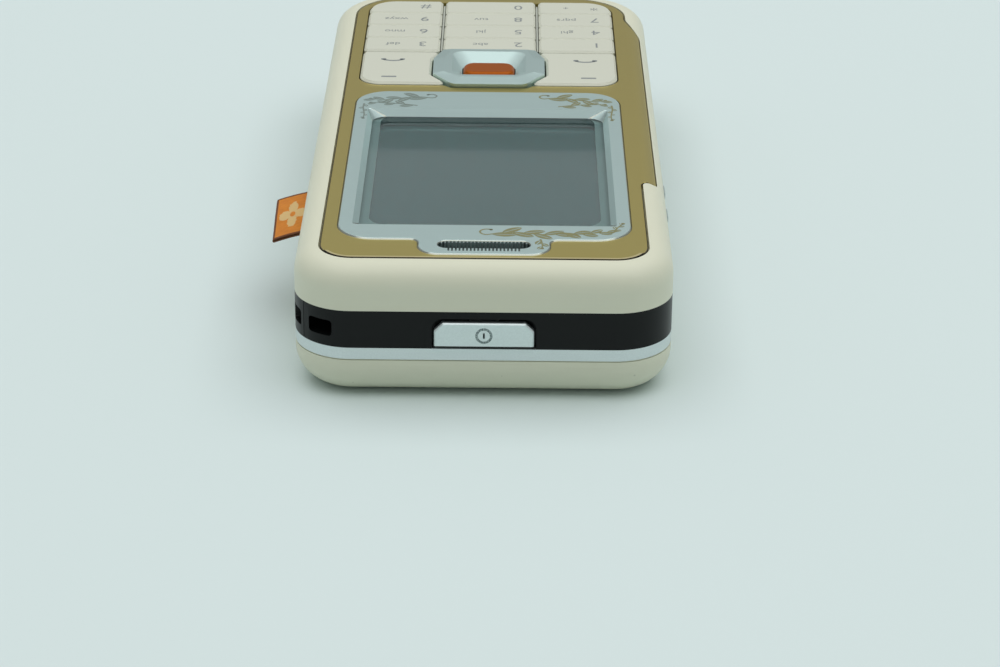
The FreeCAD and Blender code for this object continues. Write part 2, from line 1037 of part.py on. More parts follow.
def display_gasket():
    """Soft frame between the pane and the display."""
    outer = prism(lens_outline(), deck_level, lens_level)
    return outer.cut(prism(border_outline(), deck_level - 1, lens_level + 1))


def display_module():
    """Display in its metal tray, with the screen let into the top."""
    grow = lens_overlap + module_overhang
    module = prism(window_outline(grow), chassis_top, deck_level)
    screen = border_outline(screen_margin)
    return module.cut(prism(screen, deck_level - screen_recess, deck_level + 1))


def earpiece():
    """Small receiver pressed against the deck behind the slot."""
    middle = from_top(slot_start) + slot_depth / 2
    half = earpiece_length / 2
    corners = rectangle(earpiece_width / 2, middle - half, middle + half, earpiece_corner)
    return prism(corners, deck_level - earpiece_height, deck_level)


def earpiece_grille():
    """Comb that closes the slot: a rim with a row of narrow gaps."""
    grille = prism(slot_outline(comb_rim), deck_level, plate_level)
    count = int(slot_width / comb_pitch)
    first = -(count - 1) * comb_pitch / 2
    near = from_top(slot_start) + comb_margin
    far = from_top(slot_start) + slot_depth - comb_margin
    round_end = slot_depth / 2
    half_gap = comb_gap / 2
    gaps = []
    for index in range(count):
        x = first + index * comb_pitch
        past_end = max(0.0, abs(x) + half_gap - (slot_width / 2 - round_end))
        drop = round_end - math.sqrt(max(0.0, round_end**2 - min(past_end, round_end) ** 2))
        if far - near - 2 * drop > comb_gap:
            low = near + drop
            high = far - drop
            gaps.append(box(x - half_gap, x + half_gap, low, high, deck_level - 1, plate_level + 1))
    return grille.cut(gaps)


# Keys

def key_cap(corners, top):
    """Cap with softened top edges."""
    cap = prism(corners, key_bottom, top)
    return cap.makeChamfer(key_edge, edges_at(cap, top))


def number_key(row, column):
    """Cap and stem of one number key; the far outer corners follow the face."""
    left, right = number_columns()[column]
    near, far = number_rows()[row]
    cut = key_corner_cut
    corners = [(left, near + cut, 0), (left + cut, near, 0)]
    corners += [(right - cut, near, 0), (right, near + cut, 0)]
    if row == 3 and column == 2:
        corners.append((right, far, key_outer_corner))
    else:
        corners += [(right, far - cut, 0), (right - cut, far, 0)]
    if row == 3 and column == 0:
        corners.append((left, far, key_outer_corner))
    else:
        corners += [(left + cut, far, 0), (left, far - cut, 0)]
    cap = key_cap(corners, key_top)
    x = (left + right) / 2
    y = (near + far) / 2
    return fused([cap, stem(x, y, stem_width, stem_depth, stem_bottom, key_bottom + reach)])


def rib_along_x(x_low, x_high, y):
    """Round pivot rib under a rocking key."""
    start = Vector(x_low, y, pivot_level)
    return Part.makeCylinder(pivot_rib_radius, x_high - x_low, start, Vector(1, 0, 0))


def soft_key_left():
    """Rocker beside the navigation key, following its cut corners, on a pivot rib."""
    outer = keys_width / 2
    side = nav_width / 2 + nav_gap
    near_slope = nav_near_cut_side / nav_near_cut
    near_x = side - (nav_start + nav_near_cut - soft_start) * near_slope
    far_slope = nav_far_cut_side / nav_far_cut
    far_x = side - (soft_end - (nav_end - nav_far_cut)) * far_slope
    corners = [
        (near_x, soft_start, key_corner),
        (outer, soft_start, soft_key_corner),
        (outer, soft_end, key_corner),
        (far_x, soft_end, key_corner),
        (side, nav_end - nav_far_cut, 0),
        (side, nav_start + nav_near_cut, 0),
    ]
    cap = key_cap(corners, key_top)
    x = soft_key_middle()
    stems = []
    for end in (-1, 1):
        y = soft_middle + end * rocker_stem_offset
        stems.append(stem(x, y, tilt_stem, tilt_stem, stem_bottom, key_bottom + reach))
    return fused([cap, rib_along_x(side + key_edge, outer - key_edge, soft_middle)] + stems)


def nav_key():
    """Four-way key: gently sloping rim, a bowl in the middle, two pivot ribs and four stems."""
    shoulder = body_height + nav_shoulder
    top = body_height + nav_rise
    skirt = prism(nav_outline(), key_bottom, shoulder)
    low = rounded_wire(nav_outline(), shoulder)
    high = rounded_wire(nav_outline(nav_side_slope, nav_near_slope, nav_far_slope), top)
    crown = Part.makeLoft([low, high], True, True)
    bowl_low = rounded_wire(centre_key_outline(centre_key_gap + bowl_lip), top - bowl_drop)
    near = nav_start + bowl_near
    far = nav_start + bowl_far
    bowl_high = rounded_wire(rectangle(bowl_width / 2, near, far, centre_key_corner), top)
    bowl = Part.makeLoft([bowl_low, bowl_high], True, True)
    well = prism(centre_key_outline(centre_key_gap), key_bottom - 1, top)
    key = fused([skirt, crown]).cut([bowl, well])
    stems = [
        stem(x, y, tilt_stem, tilt_stem, stem_bottom, key_bottom + reach) for x, y in tilt_stems()[4:]
    ]
    rib_start = pad_width / 2 + pad_well_gap
    rib_end = nav_stem_reach
    ribs = [rib_along_x(rib_start, rib_end, nav_middle), rib_along_x(-rib_end, -rib_start, nav_middle)]
    return key.fuse(stems + ribs).removeSplitter()


def centre_key_outline(grow=0.0):
    """Centre key in plan."""
    near = nav_start + centre_key_near
    return rectangle(
        centre_key_width / 2 + grow,
        near - grow,
        near + centre_key_depth + grow,
        centre_key_corner + grow,
    )


def centre_key():
    """Confirm key in the bowl, with a softly rounded top and one stem."""
    top = body_height + nav_rise - centre_key_drop
    cap = prism(centre_key_outline(), key_bottom, top)
    cap = cap.makeFillet(centre_key_edge, edges_at(cap, top))
    middle = centre_key_middle()
    return fused([cap, stem(0, middle, stem_width, stem_depth, stem_bottom, key_bottom + reach)])


def nav_pad():
    """Pad that carries the navigation key, open for the centre key's stem, on its own pivot rib."""
    half = pad_width / 2
    near = nav_middle - half
    pad = prism(rectangle(half, near, nav_middle + half, pad_corner), pad_bottom, pad_top)
    rib = Part.makeCylinder(pad_rib_radius, pad_width, Vector(0, near, pad_bottom), Vector(0, 1, 0))
    pad = fused([pad, rib])
    wide = 2 * tilt_stem_gap
    hole = stem(0, centre_key_middle(), stem_width + wide, stem_depth + wide, 0, body_height)
    return pad.cut(hole)


def key_mat():
    """Soft mat under the keys, with a hole for each stem and a well for the pad."""
    half = keys_width / 2 + mat_margin
    near = soft_start - mat_margin
    far = keys_end + mat_margin / 2
    mat = prism(rectangle(half, near, far, soft_key_corner, key_outer_corner), chassis_top, mat_top)
    half = pad_width / 2 + pad_well_gap
    floor = pad_bottom - pad_rib_radius
    well = box(-half, half, nav_middle - half, nav_middle + half, floor, body_height)
    mat = mat.cut(stem_holes(chassis_top - 1, mat_top + 1) + [well])
    return mat.fuse(mat_ribs()).removeSplitter()


def mat_ribs():
    """Raised ribs of the mat that fill the gaps between the columns of keys."""
    ribs = []
    for left, right in ((0, 1), (1, 2)):
        low = number_columns()[left][1] + mat_rib_gap
        high = number_columns()[right][0] - mat_rib_gap
        near = number_start + mat_rib_inset
        far = keys_end - mat_rib_inset
        ribs.append(box(low, high, near, far, mat_top - reach, key_top - mat_rib_drop))
    return ribs


def power_key():
    """Plate-like key on the earpiece end, with a stem and a stop flange inside the wall."""
    left = power_key_x - power_key_width / 2
    right = power_key_x + power_key_width / 2
    base = band_level + power_key_base
    top = base + power_key_height
    corners = [
        (left, base, 0),
        (right, base, 0),
        (right, top - power_key_cut, power_key_corner),
        (right - power_key_cut, top, power_key_corner),
        (left + power_key_cut, top, power_key_corner),
        (left, top - power_key_cut, power_key_corner),
    ]
    front = from_top(-power_key_proud)
    back = front + power_key_thickness
    cap = end_prism(corners, front, back)
    rim = [e for e in cap.Edges if abs(e.BoundBox.YMax - front) < tolerance]
    cap = cap.makeChamfer(power_key_edge, rim)
    inner = from_top(band_wall + button_flange_gap)
    half_stem = power_stem_width / 2
    half_height = power_stem_height / 2
    shank = box(
        power_key_x - half_stem,
        power_key_x + half_stem,
        back - sliver,
        inner + button_flange,
        button_middle - half_height,
        button_middle + half_height,
    )
    lip = volume_key_gap + button_flange_lip
    flange = box(
        power_key_x - half_stem - lip,
        power_key_x + half_stem + lip,
        inner,
        inner + button_flange,
        button_middle - half_height - lip / 2,
        button_middle + half_height + lip,
    )
    return fused([cap, shank, flange])


def volume_key(y):
    """Side key with a rounded face and a stop flange inside the wall."""
    half_length = volume_key_length / 2
    half_height = volume_key_height / 2
    inner = half_width - band_wall - button_flange_gap
    cap = box(
        inner - button_flange / 2,
        half_width + volume_key_proud,
        y - half_length,
        y + half_length,
        volume_key_level - half_height,
        volume_key_level + half_height,
    )
    face_x = half_width + volume_key_proud
    face = [e for e in cap.Edges if abs(e.BoundBox.XMin - face_x) < tolerance]
    cap = cap.makeFillet(volume_key_edge, face)
    lip = volume_key_gap + button_flange_lip
    flange = box(
        inner - button_flange,
        inner,
        y - half_length - lip,
        y + half_length + lip,
        volume_key_level - half_height - lip,
        volume_key_level + half_height,
    )
    return fused([cap, flange])


# Inside

def board_outline():
    """Circuit board in plan, inside the band."""
    inset = band_wall + board_side_gap
    return rectangle(half_width - inset, from_top(inset), from_bottom(inset), board_corner, board_corner + 3)


def circuit_board():
    """Main board with holes for the screws and a corner cut out for the eyelet block."""
    board = prism(board_outline(), board_level, board_top)
    x, y = strap_corner()
    edge = board_side_gap
    board = board.cut(box(-half_width, x + edge, from_top(0), y + edge, 0, body_height))
    return board.cut(screw_posts(2 * (screw_radius + screw_gap), board_level - 1, board_top + 1))


def dome_sheet():
    """Film on the board with one snap dome under each stem."""
    near = soft_start - mat_margin
    far = keys_end - dome_sheet_end
    corners = rectangle(keys_width / 2, near, far, dome_sheet_corner, key_outer_corner)
    sheet = prism(corners, board_top, board_top + dome_sheet_thickness)
    sheet = sheet.cut(screw_posts(boss_width, board_top - 1, board_top + 1))
    places = number_stems() + tilt_stems() + [(0.0, centre_key_middle())]
    top = board_top + dome_sheet_thickness + dome_height
    domes = [stem(x, y, dome_width, dome_width, board_top, top) for x, y in places]
    return sheet.fuse(domes).removeSplitter()


def shield_cans():
    """Two metal cans over the circuits under the display."""
    near = from_top(can_start)
    far = window_far - can_end_gap
    inner = screw_x - boss_width / 2 - can_gap
    top = board_top + can_height
    return Part.makeCompound([
        box(-inner, -can_gap, near, far, board_top, top),
        box(can_gap, inner, near, (near + far) / 2, board_top, top),
    ])


def battery():
    """Flat battery pack that fills its bay."""
    near = bay_near + battery_gap
    far = bay_far - battery_gap
    corners = rectangle(bay_half - battery_gap, near, far, battery_corner)
    bottom = cover_thickness + battery_gap
    return prism(corners, bottom, board_level - sim_slot_height - battery_top_gap)


def battery_contacts():
    """Spring contacts of the battery, hung from the board."""
    half = contact_count * contact_pitch / 2
    back = bay_near - bay_wall - contact_depth
    front = bay_near - bay_wall + reach
    base = box(-half, half, back, front, rear_floor + contact_gap, board_level)
    low = rear_floor + contact_lift
    high = low + contact_width
    tips = []
    for index in range(contact_count):
        x = (index - (contact_count - 1) / 2) * contact_pitch
        left = x - contact_width / 2
        right = x + contact_width / 2
        tips.append(box(left, right, bay_near - bay_wall, bay_near + battery_gap, low, high))
    return base.fuse(tips).removeSplitter()


def sim_holder():
    """Low holder under the board with the slot for the card."""
    half = sim_holder_width / 2
    near = bay_near + sim_holder_place - sim_holder_length / 2
    far = near + sim_holder_length
    slot_top = board_level - sim_holder_roof
    slot_bottom = slot_top - sim_slot_height
    holder = box(-half, half, near, far, slot_bottom - sim_holder_floor, board_level)
    wall = sim_holder_wall
    return holder.cut(box(-half + wall, half + 1, near + wall, far - wall, slot_bottom, slot_top))


def battery_cover():
    """Back cover that wraps over the connector end, with side lugs and thumb grooves."""
    cover = body_form().common(prism(cover_outline(), -1, trim_level - seam_depth))
    cover = cover.cut(inner_form(cover_thickness))
    lugs = lug_block(0, 0)
    cover = cover.fuse(lugs)
    grooves = []
    for index in range(grip_count):
        near = from_top(cover_start + grip_start + index * grip_pitch)
        far = near + grip_width
        grooves.append(box(-grip_length / 2, grip_length / 2, near, far, -1, grip_depth))
    return cover.cut(grooves).removeSplitter()


def housing_screws():
    """Four screws from the back into the posts of the chassis."""
    head_top = screw_head_level + screw_head_height
    heads = screw_column(screw_head_radius, screw_head_level, head_top)
    shanks = screw_column(screw_radius, head_top - reach, chassis_level - reach)
    long, short = screw_cross_length, screw_cross_width
    cross_top = screw_head_level + screw_cross_depth
    screws = []
    for side in (-1, 1):
        for y in screw_places:
            cross = [stem(side * screw_x, y, w, d, 0, cross_top) for w, d in ((long, short), (short, long))]
            head, shank = heads[len(screws)], shanks[len(screws)]
            screws.append(fused([head, shank]).cut(cross))
    return Part.makeCompound(screws)


def camera_module():
    """Camera block with its barrel in the floor of the housing."""
    y = from_top(camera_place)
    half = camera_width / 2
    block = box(-half, half, y - half, y + half, rear_floor, board_level)
    bottom = camera_window_inset + camera_window_thickness + contact_gap
    height = rear_floor - bottom + reach
    barrel = Part.makeCylinder(camera_barrel_radius, height, Vector(0, y, bottom))
    pupil = Part.makeCone(pupil_wide, pupil_narrow, pupil_narrow, Vector(0, y, bottom))
    return fused([block, barrel]).cut(pupil)


def camera_window():
    """Round pane over the camera."""
    y = from_top(camera_place)
    return Part.makeCylinder(camera_window_radius, camera_window_thickness, Vector(0, y, camera_window_inset))


def loudspeaker():
    """Ringer loudspeaker over its slots."""
    y = from_top(speaker_place)
    body = Part.makeCylinder(speaker_radius, speaker_height, Vector(-speaker_x, y, rear_floor))
    top = Vector(-speaker_x, y, rear_floor + speaker_height)
    step = Part.makeCylinder(speaker_radius - speaker_step, speaker_step_height, top)
    return fused([body, step])


def motor_axis_height():
    """Height of the vibration motor's shaft."""
    return rear_floor + weight_inset + motor_radius


def vibration_motor():
    """Can of the vibration motor, bored for its shaft."""
    origin = Vector(motor_x, from_top(motor_place), motor_axis_height())
    can = Part.makeCylinder(motor_radius, motor_length, origin, Vector(1, 0, 0))
    bore_start = origin + Vector(motor_length / 2, 0, 0)
    bore_radius = motor_shaft_radius + motor_shaft_clearance
    bore = Part.makeCylinder(bore_radius, motor_length, bore_start, Vector(1, 0, 0))
    return can.cut(bore)


def motor_weight():
    """Half-round weight on the motor's shaft."""
    y = from_top(motor_place)
    height = motor_axis_height()
    start = motor_x + motor_length + weight_gap
    end = start + weight_length
    radius = motor_radius - weight_inset
    disc = Part.makeCylinder(radius, weight_length, Vector(start, y, height), Vector(1, 0, 0))
    lower = box(start, end, y - radius, y + radius, height - radius, height + weight_rise)
    shaft_start = motor_x + motor_length / 2 + reach
    shaft_place = Vector(shaft_start, y, height)
    shaft = Part.makeCylinder(motor_shaft_radius, end - shaft_start, shaft_place, Vector(1, 0, 0))
    return fused([disc.common(lower), shaft])


def charging_jack():
    """Socket for a round charging plug."""
    front = from_bottom(band_wall)
    half = jack_width / 2
    back = front - jack_length
    body = box(-jack_x - half, -jack_x + half, back, front, board_top, chassis_level)
    bore_start = Vector(-jack_x, back + jack_back, button_middle)
    return body.cut(Part.makeCylinder(jack_radius, jack_length, bore_start, Vector(0, 1, 0)))


def system_connector():
    """Wide socket with a contact tongue."""
    front = from_bottom(band_wall)
    back = front - connector_length

    def block(half_x, y_low, y_high, half_z):
        """Block centred on the socket's axis."""
        left = connector_x - half_x
        right = connector_x + half_x
        return box(left, right, y_low, y_high, button_middle - half_z, button_middle + half_z)

    half = connector_width / 2
    body = block(half + connector_wall, back, front, switch_space / 2)
    mouth = block(half, back + connector_back, front + 1, connector_height / 2)
    tongue_start = back + connector_back - reach
    tongue_end = front - connector_tongue_drop
    tongue = block(half - connector_tongue_margin, tongue_start, tongue_end, connector_tongue / 2)
    return body.cut(mouth).fuse(tongue).removeSplitter()


def microphone():
    """Capsule behind its hole in the connector end."""
    back = from_bottom(band_wall + contact_gap + microphone_length)
    place = Vector(microphone_x, back, board_top + microphone_radius)
    return Part.makeCylinder(microphone_radius, microphone_length, place, Vector(0, 1, 0))


def power_switch():
    """Push switch on the board behind the power key."""
    start = from_top(band_wall + button_flange_gap + button_flange + travel_room)
    front = start + switch_tip
    half = switch_width / 2
    body = box(-half, half, front, front + switch_depth, board_top, board_top + switch_height)
    half = switch_tip_width / 2
    low = button_middle - switch_tip_height / 2
    tip = box(-half, half, start, front + reach, low, low + switch_tip_height)
    return fused([body, tip])


def volume_switches():
    """One push switch behind each side key."""
    face = half_width - band_wall - button_flange_gap - button_flange - travel_room
    front = face - switch_tip
    top = board_top + switch_height
    low = button_middle - switch_tip_height / 2
    switches = []
    for y in volume_places():
        half = switch_width / 2
        body = box(front - switch_depth, front, y - half, y + half, board_top, top)
        half = switch_tip_width / 2
        tip = box(front - reach, face, y - half, y + half, low, low + switch_tip_height)
        switches.append(fused([body, tip]))
    return Part.makeCompound(switches)


def antenna_carrier():
    """Thin carrier of the antenna under the board, with a leg along the end wall."""
    near = from_top(antenna_start)
    far = from_top(antenna_end)
    corners = [
        (antenna_inner_x, near, 0),
        (antenna_outer_x, near, antenna_thickness),
        (antenna_outer_x, far, antenna_corner),
        (antenna_inner_x, far, antenna_corner),
    ]
    underside = board_level - antenna_thickness
    roof = prism(corners, underside, board_level)
    leg_end = antenna_outer_x - antenna_thickness
    leg_far = near + antenna_thickness
    leg = box(antenna_inner_x, leg_end, near, leg_far, underside - antenna_leg, board_level)
    return fused([roof, leg])


def fabric_tag():
    """Folded ribbon caught between the upper housing and the band, drooping outside."""
    root = -half_width + tag_root
    mouth = -half_width - tag_mouth
    tip = -half_width - tag_reach
    low = front_level + tag_gap
    profile = [
        (root, low),
        (mouth, low),
        (tip, low - tag_droop),
        (tip, low - tag_droop + tag_thickness),
        (mouth, low + tag_thickness),
        (root, low + tag_thickness),
    ]
    near = from_top(tag_place)
    return end_prism([(x, z, 0) for x, z in profile], near, near + tag_width)


def number_key_name(row, column):
    """Node name of a number key, with the columns counted from low X."""
    return (
        ("key_3", "key_2", "key_1"),
        ("key_6", "key_5", "key_4"),
        ("key_9", "key_8", "key_7"),
        ("key_hash", "key_0", "key_star"),
    )[row][column]


def all_pieces():
    """Every piece with its name."""
    soft_key = soft_key_left()
    volume_up, volume_down = (volume_key(y) for y in volume_places())
    pieces = {
        "rear_shell": rear_shell(),
        "trim_ring": trim_ring(),
        "mid_chassis": mid_chassis(),
        "front_shell": front_shell(),
        "front_plate": front_plate(),
        "display_bezel": display_bezel(),
        "display_window": display_window(),
        "display_gasket": display_gasket(),
        "display_module": display_module(),
        "earpiece": earpiece(),
        "earpiece_grille": earpiece_grille(),
        "soft_key_left": soft_key,
        "soft_key_right": mirrored(soft_key),
        "nav_key": nav_key(),
        "nav_pad": nav_pad(),
        "centre_key": centre_key(),
        "key_mat": key_mat(),
        "power_key": power_key(),
        "volume_up_key": volume_up,
        "volume_down_key": volume_down,
        "circuit_board": circuit_board(),
        "dome_sheet": dome_sheet(),
        "shield_cans": shield_cans(),
        "battery": battery(),
        "battery_contacts": battery_contacts(),
        "battery_cover": battery_cover(),
        "sim_holder": sim_holder(),
        "housing_screws": housing_screws(),
        "camera_module": camera_module(),
        "camera_window": camera_window(),
        "loudspeaker": loudspeaker(),
        "vibration_motor": vibration_motor(),
        "motor_weight": motor_weight(),
        "charging_jack": charging_jack(),
        "system_connector": system_connector(),
        "microphone": microphone(),
        "power_switch": power_switch(),
        "volume_switches": volume_switches(),
        "antenna_carrier": antenna_carrier(),
        "fabric_tag": fabric_tag(),
    }
    for row in range(4):
        for column in range(3):
            pieces[number_key_name(row, column)] = number_key(row, column)
    return pieces


for name, shape in all_pieces().items():
    shape.exportStep(f"parts/{name}.step")
    print(name, len(shape.Solids), "solids", round(shape.Volume, 2), "mm3", shape.isValid())
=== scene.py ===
"""Looks of a one-piece mobile phone with a gold front plate, face up on a pale table.

Sizes in the classes are in millimetres unless they say otherwise; meshes are finished in metres. X
runs across the face, Y from the earpiece end to the connector end, Z up from the table. The user
reads the keys from the connector end, so print on them is turned half round.
"""

import functools
import logging
import math
from dataclasses import dataclass, field, replace
from enum import Enum
from typing import Any, Callable, Sequence, Union

import bmesh
import bpy
from mathutils import Matrix, Vector


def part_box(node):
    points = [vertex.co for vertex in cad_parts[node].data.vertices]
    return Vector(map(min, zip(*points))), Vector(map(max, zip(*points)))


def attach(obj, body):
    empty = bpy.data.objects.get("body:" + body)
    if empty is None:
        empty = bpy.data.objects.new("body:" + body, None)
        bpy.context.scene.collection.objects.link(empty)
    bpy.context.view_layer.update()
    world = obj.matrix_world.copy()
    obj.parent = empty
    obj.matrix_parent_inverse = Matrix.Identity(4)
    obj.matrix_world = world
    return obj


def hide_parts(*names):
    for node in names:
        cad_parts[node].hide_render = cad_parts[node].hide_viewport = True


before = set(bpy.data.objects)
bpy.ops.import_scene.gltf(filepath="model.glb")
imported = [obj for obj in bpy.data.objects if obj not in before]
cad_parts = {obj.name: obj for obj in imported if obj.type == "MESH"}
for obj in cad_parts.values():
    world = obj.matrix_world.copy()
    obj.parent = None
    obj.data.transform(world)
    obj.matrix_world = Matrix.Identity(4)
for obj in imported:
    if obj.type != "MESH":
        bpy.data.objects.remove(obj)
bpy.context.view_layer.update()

log = logging.getLogger("phone")

MM = 0.001
TO_METRES = Matrix.Scale(MM, 4)

Colour = tuple[float, float, float, float]
Operand = Union["Wire", float]
Point = tuple[float, float]


def tone(red: int, green: int, blue: int) -> Colour:
    """Linear colour of a screen colour given in steps of 255.

    Args:
        red: Red step.
        green: Green step.
        blue: Blue step.

    Returns:
        The colour with full alpha, as shader sockets take it.
    """

    def linear(step: int) -> float:
        """Linear value of one step."""
        share = step / 255
        return share / 12.92 if share <= 0.04045 else ((share + 0.055) / 1.055) ** 2.4

    return (linear(red), linear(green), linear(blue), 1.0)


def scaled(colour: Colour, share: float) -> Colour:
    """The same colour at a share of its brightness."""
    return (colour[0] * share, colour[1] * share, colour[2] * share, 1.0)


# Shader graphs


def operator(operation: str, reflected: bool = False) -> Callable[..., "Wire"]:
    """Method of Wire that adds a Math node.

    Args:
        operation: Operation of the node.
        reflected: Whether the other value comes first.

    Returns:
        The method.
    """

    def method(wire: "Wire", *others: Operand) -> "Wire":
        """Math node on the wire and the other value, where there is one."""
        values = (*others, wire) if reflected else (wire, *others)
        return wire.graph.maths(operation, *values)

    return method


class Wire:
    """Output of a shader node that takes part in Python arithmetic."""

    def __init__(self, graph: "Graph", socket: bpy.types.NodeSocket) -> None:
        """Keeps the graph and the socket."""
        self.graph = graph
        self.socket = socket

    __add__ = operator("ADD")
    __radd__ = operator("ADD", True)
    __sub__ = operator("SUBTRACT")
    __rsub__ = operator("SUBTRACT", True)
    __mul__ = operator("MULTIPLY")
    __rmul__ = operator("MULTIPLY", True)
    __truediv__ = operator("DIVIDE")
    __pow__ = operator("POWER")
    __gt__ = operator("GREATER_THAN")
    __lt__ = operator("LESS_THAN")
    __abs__ = operator("ABSOLUTE")


class Graph:
    """Node tree of a material or of the world."""

    def __init__(self, owner: Union[bpy.types.Material, bpy.types.World]) -> None:
        """Turns on the owner's nodes and finds the shader that a material starts with.

        Args:
            owner: Material or world that holds the tree.
        """
        owner.use_nodes = True
        self.owner = owner
        self.tree = owner.node_tree
        self.shader = self.tree.nodes.get("Principled BSDF")
        self.output = self.tree.nodes.get("Material Output")

    def join(self, value: Any, socket: bpy.types.NodeSocket) -> None:
        """Links a wire to a socket, or sets the socket to a plain value.

        Args:
            value: Wire or value.
            socket: Input that takes it.
        """
        if isinstance(value, Wire):
            self.tree.links.new(value.socket, socket)
        else:
            socket.default_value = value

    def node(
        self, kind: str, settings: dict[str, Any], values: dict[Any, Any], output: Any = 0
    ) -> Wire:
        """Adds a node.

        Args:
            kind: Type name of the node.
            settings: Its properties, which are set first.
            values: Values or wires of its input sockets, by name or index.
            output: Name or index of the output to return.

        Returns:
            The chosen output.
        """
        made = self.tree.nodes.new(kind)
        for name, setting in settings.items():
            setattr(made, name, setting)
        for name, value in values.items():
            self.join(value, made.inputs[name])
        return Wire(self, made.outputs[output])

    def maths(self, operation: str, *values: Operand) -> Wire:
        """Math node on one or two values."""
        return self.node("ShaderNodeMath", {"operation": operation}, dict(enumerate(values)))

    def blend(self, share: Operand, first: Any, second: Any) -> Wire:
        """Mix of two colours, all first at 0 and all second at 1."""
        return self.node("ShaderNodeMix", {"data_type": "RGBA"}, {0: share, 6: first, 7: second}, 2)

    def places(self, output: str = "Object") -> Wire:
        """Coordinates on the piece, in metres for Object and UV."""
        return self.node("ShaderNodeTexCoord", {}, {}, output)

    def part(self, vector: Wire, axis: int) -> Wire:
        """One number of a vector, 0 for X, 1 for Y and 2 for Z."""
        return self.node("ShaderNodeSeparateXYZ", {}, {"Vector": vector}, axis)

    def floored(self, value: Wire) -> Wire:
        """The value, or 0 where it is below 0."""
        return self.maths("MAXIMUM", value, 0.0)

    def clamped(self, value: Wire) -> Wire:
        """The value, held between 0 and 1."""
        return self.maths("MINIMUM", self.floored(value), 1.0)

    def either(self, first: Wire, second: Wire) -> Wire:
        """1 where at least one of two masks is 1."""
        return self.maths("MAXIMUM", first, second)

    def stretched(self, scale: Sequence[float]) -> Wire:
        """Object coordinates times a scale for each axis."""
        return self.node("ShaderNodeMapping", {}, {"Vector": self.places(), "Scale": scale})

    def noise(
        self, per_metre: float, detail: float = 2.0, stretch: Sequence[float] = (1, 1, 1)
    ) -> Wire:
        """Noise from 0 to 1 on object coordinates.

        Args:
            per_metre: Waves to the metre.
            detail: Octaves that are added to the first.
            stretch: Share of those waves along each axis.

        Returns:
            The noise.
        """
        place = self.stretched([per_metre * share for share in stretch])
        values = {"Vector": place, "Scale": 1.0, "Detail": detail}
        return self.node("ShaderNodeTexNoise", {}, values)

    def specks(self, per_metre: float, share: float) -> Wire:
        """1 in small scattered dots and 0 between them, a radius being a share of the spacing."""
        values = {"Vector": self.stretched([per_metre] * 3), "Scale": 1.0}
        return self.node("ShaderNodeTexVoronoi", {}, values, "Distance") < share

    def weave(self, across: Wire, along: Wire, pitch: float) -> Wire:
        """Height from 0 to 1 of two crossed sets of threads at a pitch in metres."""
        first, second = (self.maths("SINE", s * (2 * math.pi / pitch)) for s in (across, along))
        return (first * second + 1.0) * 0.5

    def bump(self, height: Operand, depth: float) -> None:
        """Raises the surface by a height from 0 to 1 times a depth in metres."""
        values = {"Height": height, "Distance": depth, "Strength": 1.0}
        self.feed("Normal", self.node("ShaderNodeBump", {}, values))

    def feed(self, name: str, value: Any) -> None:
        """Sets or links one input of the shader."""
        self.join(value, self.shader.inputs[name])


# Finishes


@dataclass(frozen=True)
class Finish:
    """Plain finish: one colour with a slight unevenness of gloss and a fine relief."""

    name: str
    colour: Colour
    roughness: float = 0.5
    metallic: float = 0.0
    specular: float = 0.5
    coat: float = 0.0
    coat_roughness: float = 0.08
    gloss_drift: float = 0.05
    relief_per_metre: float = 0.0
    relief_depth: float = 0.0
    drift_per_metre: float = 90.0

    def graph(self) -> Graph:
        """Makes the material, with what its kind of finish adds.

        Returns:
            The material's graph.
        """
        graph = Graph(bpy.data.materials.new(self.name))
        graph.feed("Base Color", self.colour)
        graph.feed("Metallic", self.metallic)
        graph.feed("Specular IOR Level", self.specular)
        graph.feed("Coat Weight", self.coat)
        graph.feed("Coat Roughness", self.coat_roughness)
        drift = graph.noise(self.drift_per_metre) - 0.5
        graph.feed("Roughness", drift * self.gloss_drift + self.roughness)
        if self.relief_per_metre:
            graph.bump(graph.noise(self.relief_per_metre), self.relief_depth)
        self.work(graph)
        return graph

    def work(self, graph: Graph) -> None:
        """Adds what this kind of finish has beyond the plain one."""


@dataclass(frozen=True)
class PaintFinish(Finish):
    """Sprayed paint with a faint drift of its colour and a few fine specks of dust."""

    patches_per_metre: float = 55.0
    patch_detail: float = 3.0
    patch_share: float = 0.03
    specks_per_metre: float = 260.0
    speck_share: float = 0.035
    speck_tone: float = 0.8

    def work(self, graph: Graph) -> None:
        """Lays the drift and the specks over the colour.

        Args:
            graph: Graph of the material.
        """
        patches = graph.noise(self.patches_per_metre, self.patch_detail)
        base = graph.blend(patches, scaled(self.colour, 1 - self.patch_share), self.colour)
        dust = graph.specks(self.specks_per_metre, self.speck_share)
        graph.feed("Base Color", graph.blend(dust, base, scaled(self.colour, self.speck_tone)))


@dataclass(frozen=True)
class FlakeFinish(Finish):
    """Metallic paint with fine light and dark flakes."""

    flakes_per_metre: float = 5200.0
    flake_share: float = 0.14
    # Painted shade: height under which the colour turns dark for the shadow in a gap, and that dark
    # colour.
    shade_below: float = 0.0
    painted_shade_colour: Colour = (0.02, 0.022, 0.022, 1.0)

    def work(self, graph: Graph) -> None:
        """Scatters the flakes over the colour and paints shade on what lies under the shade height,
        for the shadow in the gap below the piece.

        Args:
            graph: Graph of the material.
        """
        flakes = graph.noise(self.flakes_per_metre)
        paint = graph.blend(flakes, scaled(self.colour, 1 - self.flake_share), self.colour)
        # Painted shade: the lowest part of the piece is darkened for the shadow in the gap under
        # it.
        painted_shade = graph.part(graph.places(), 2) < self.shade_below
        graph.feed("Base Color", graph.blend(painted_shade, paint, self.painted_shade_colour))


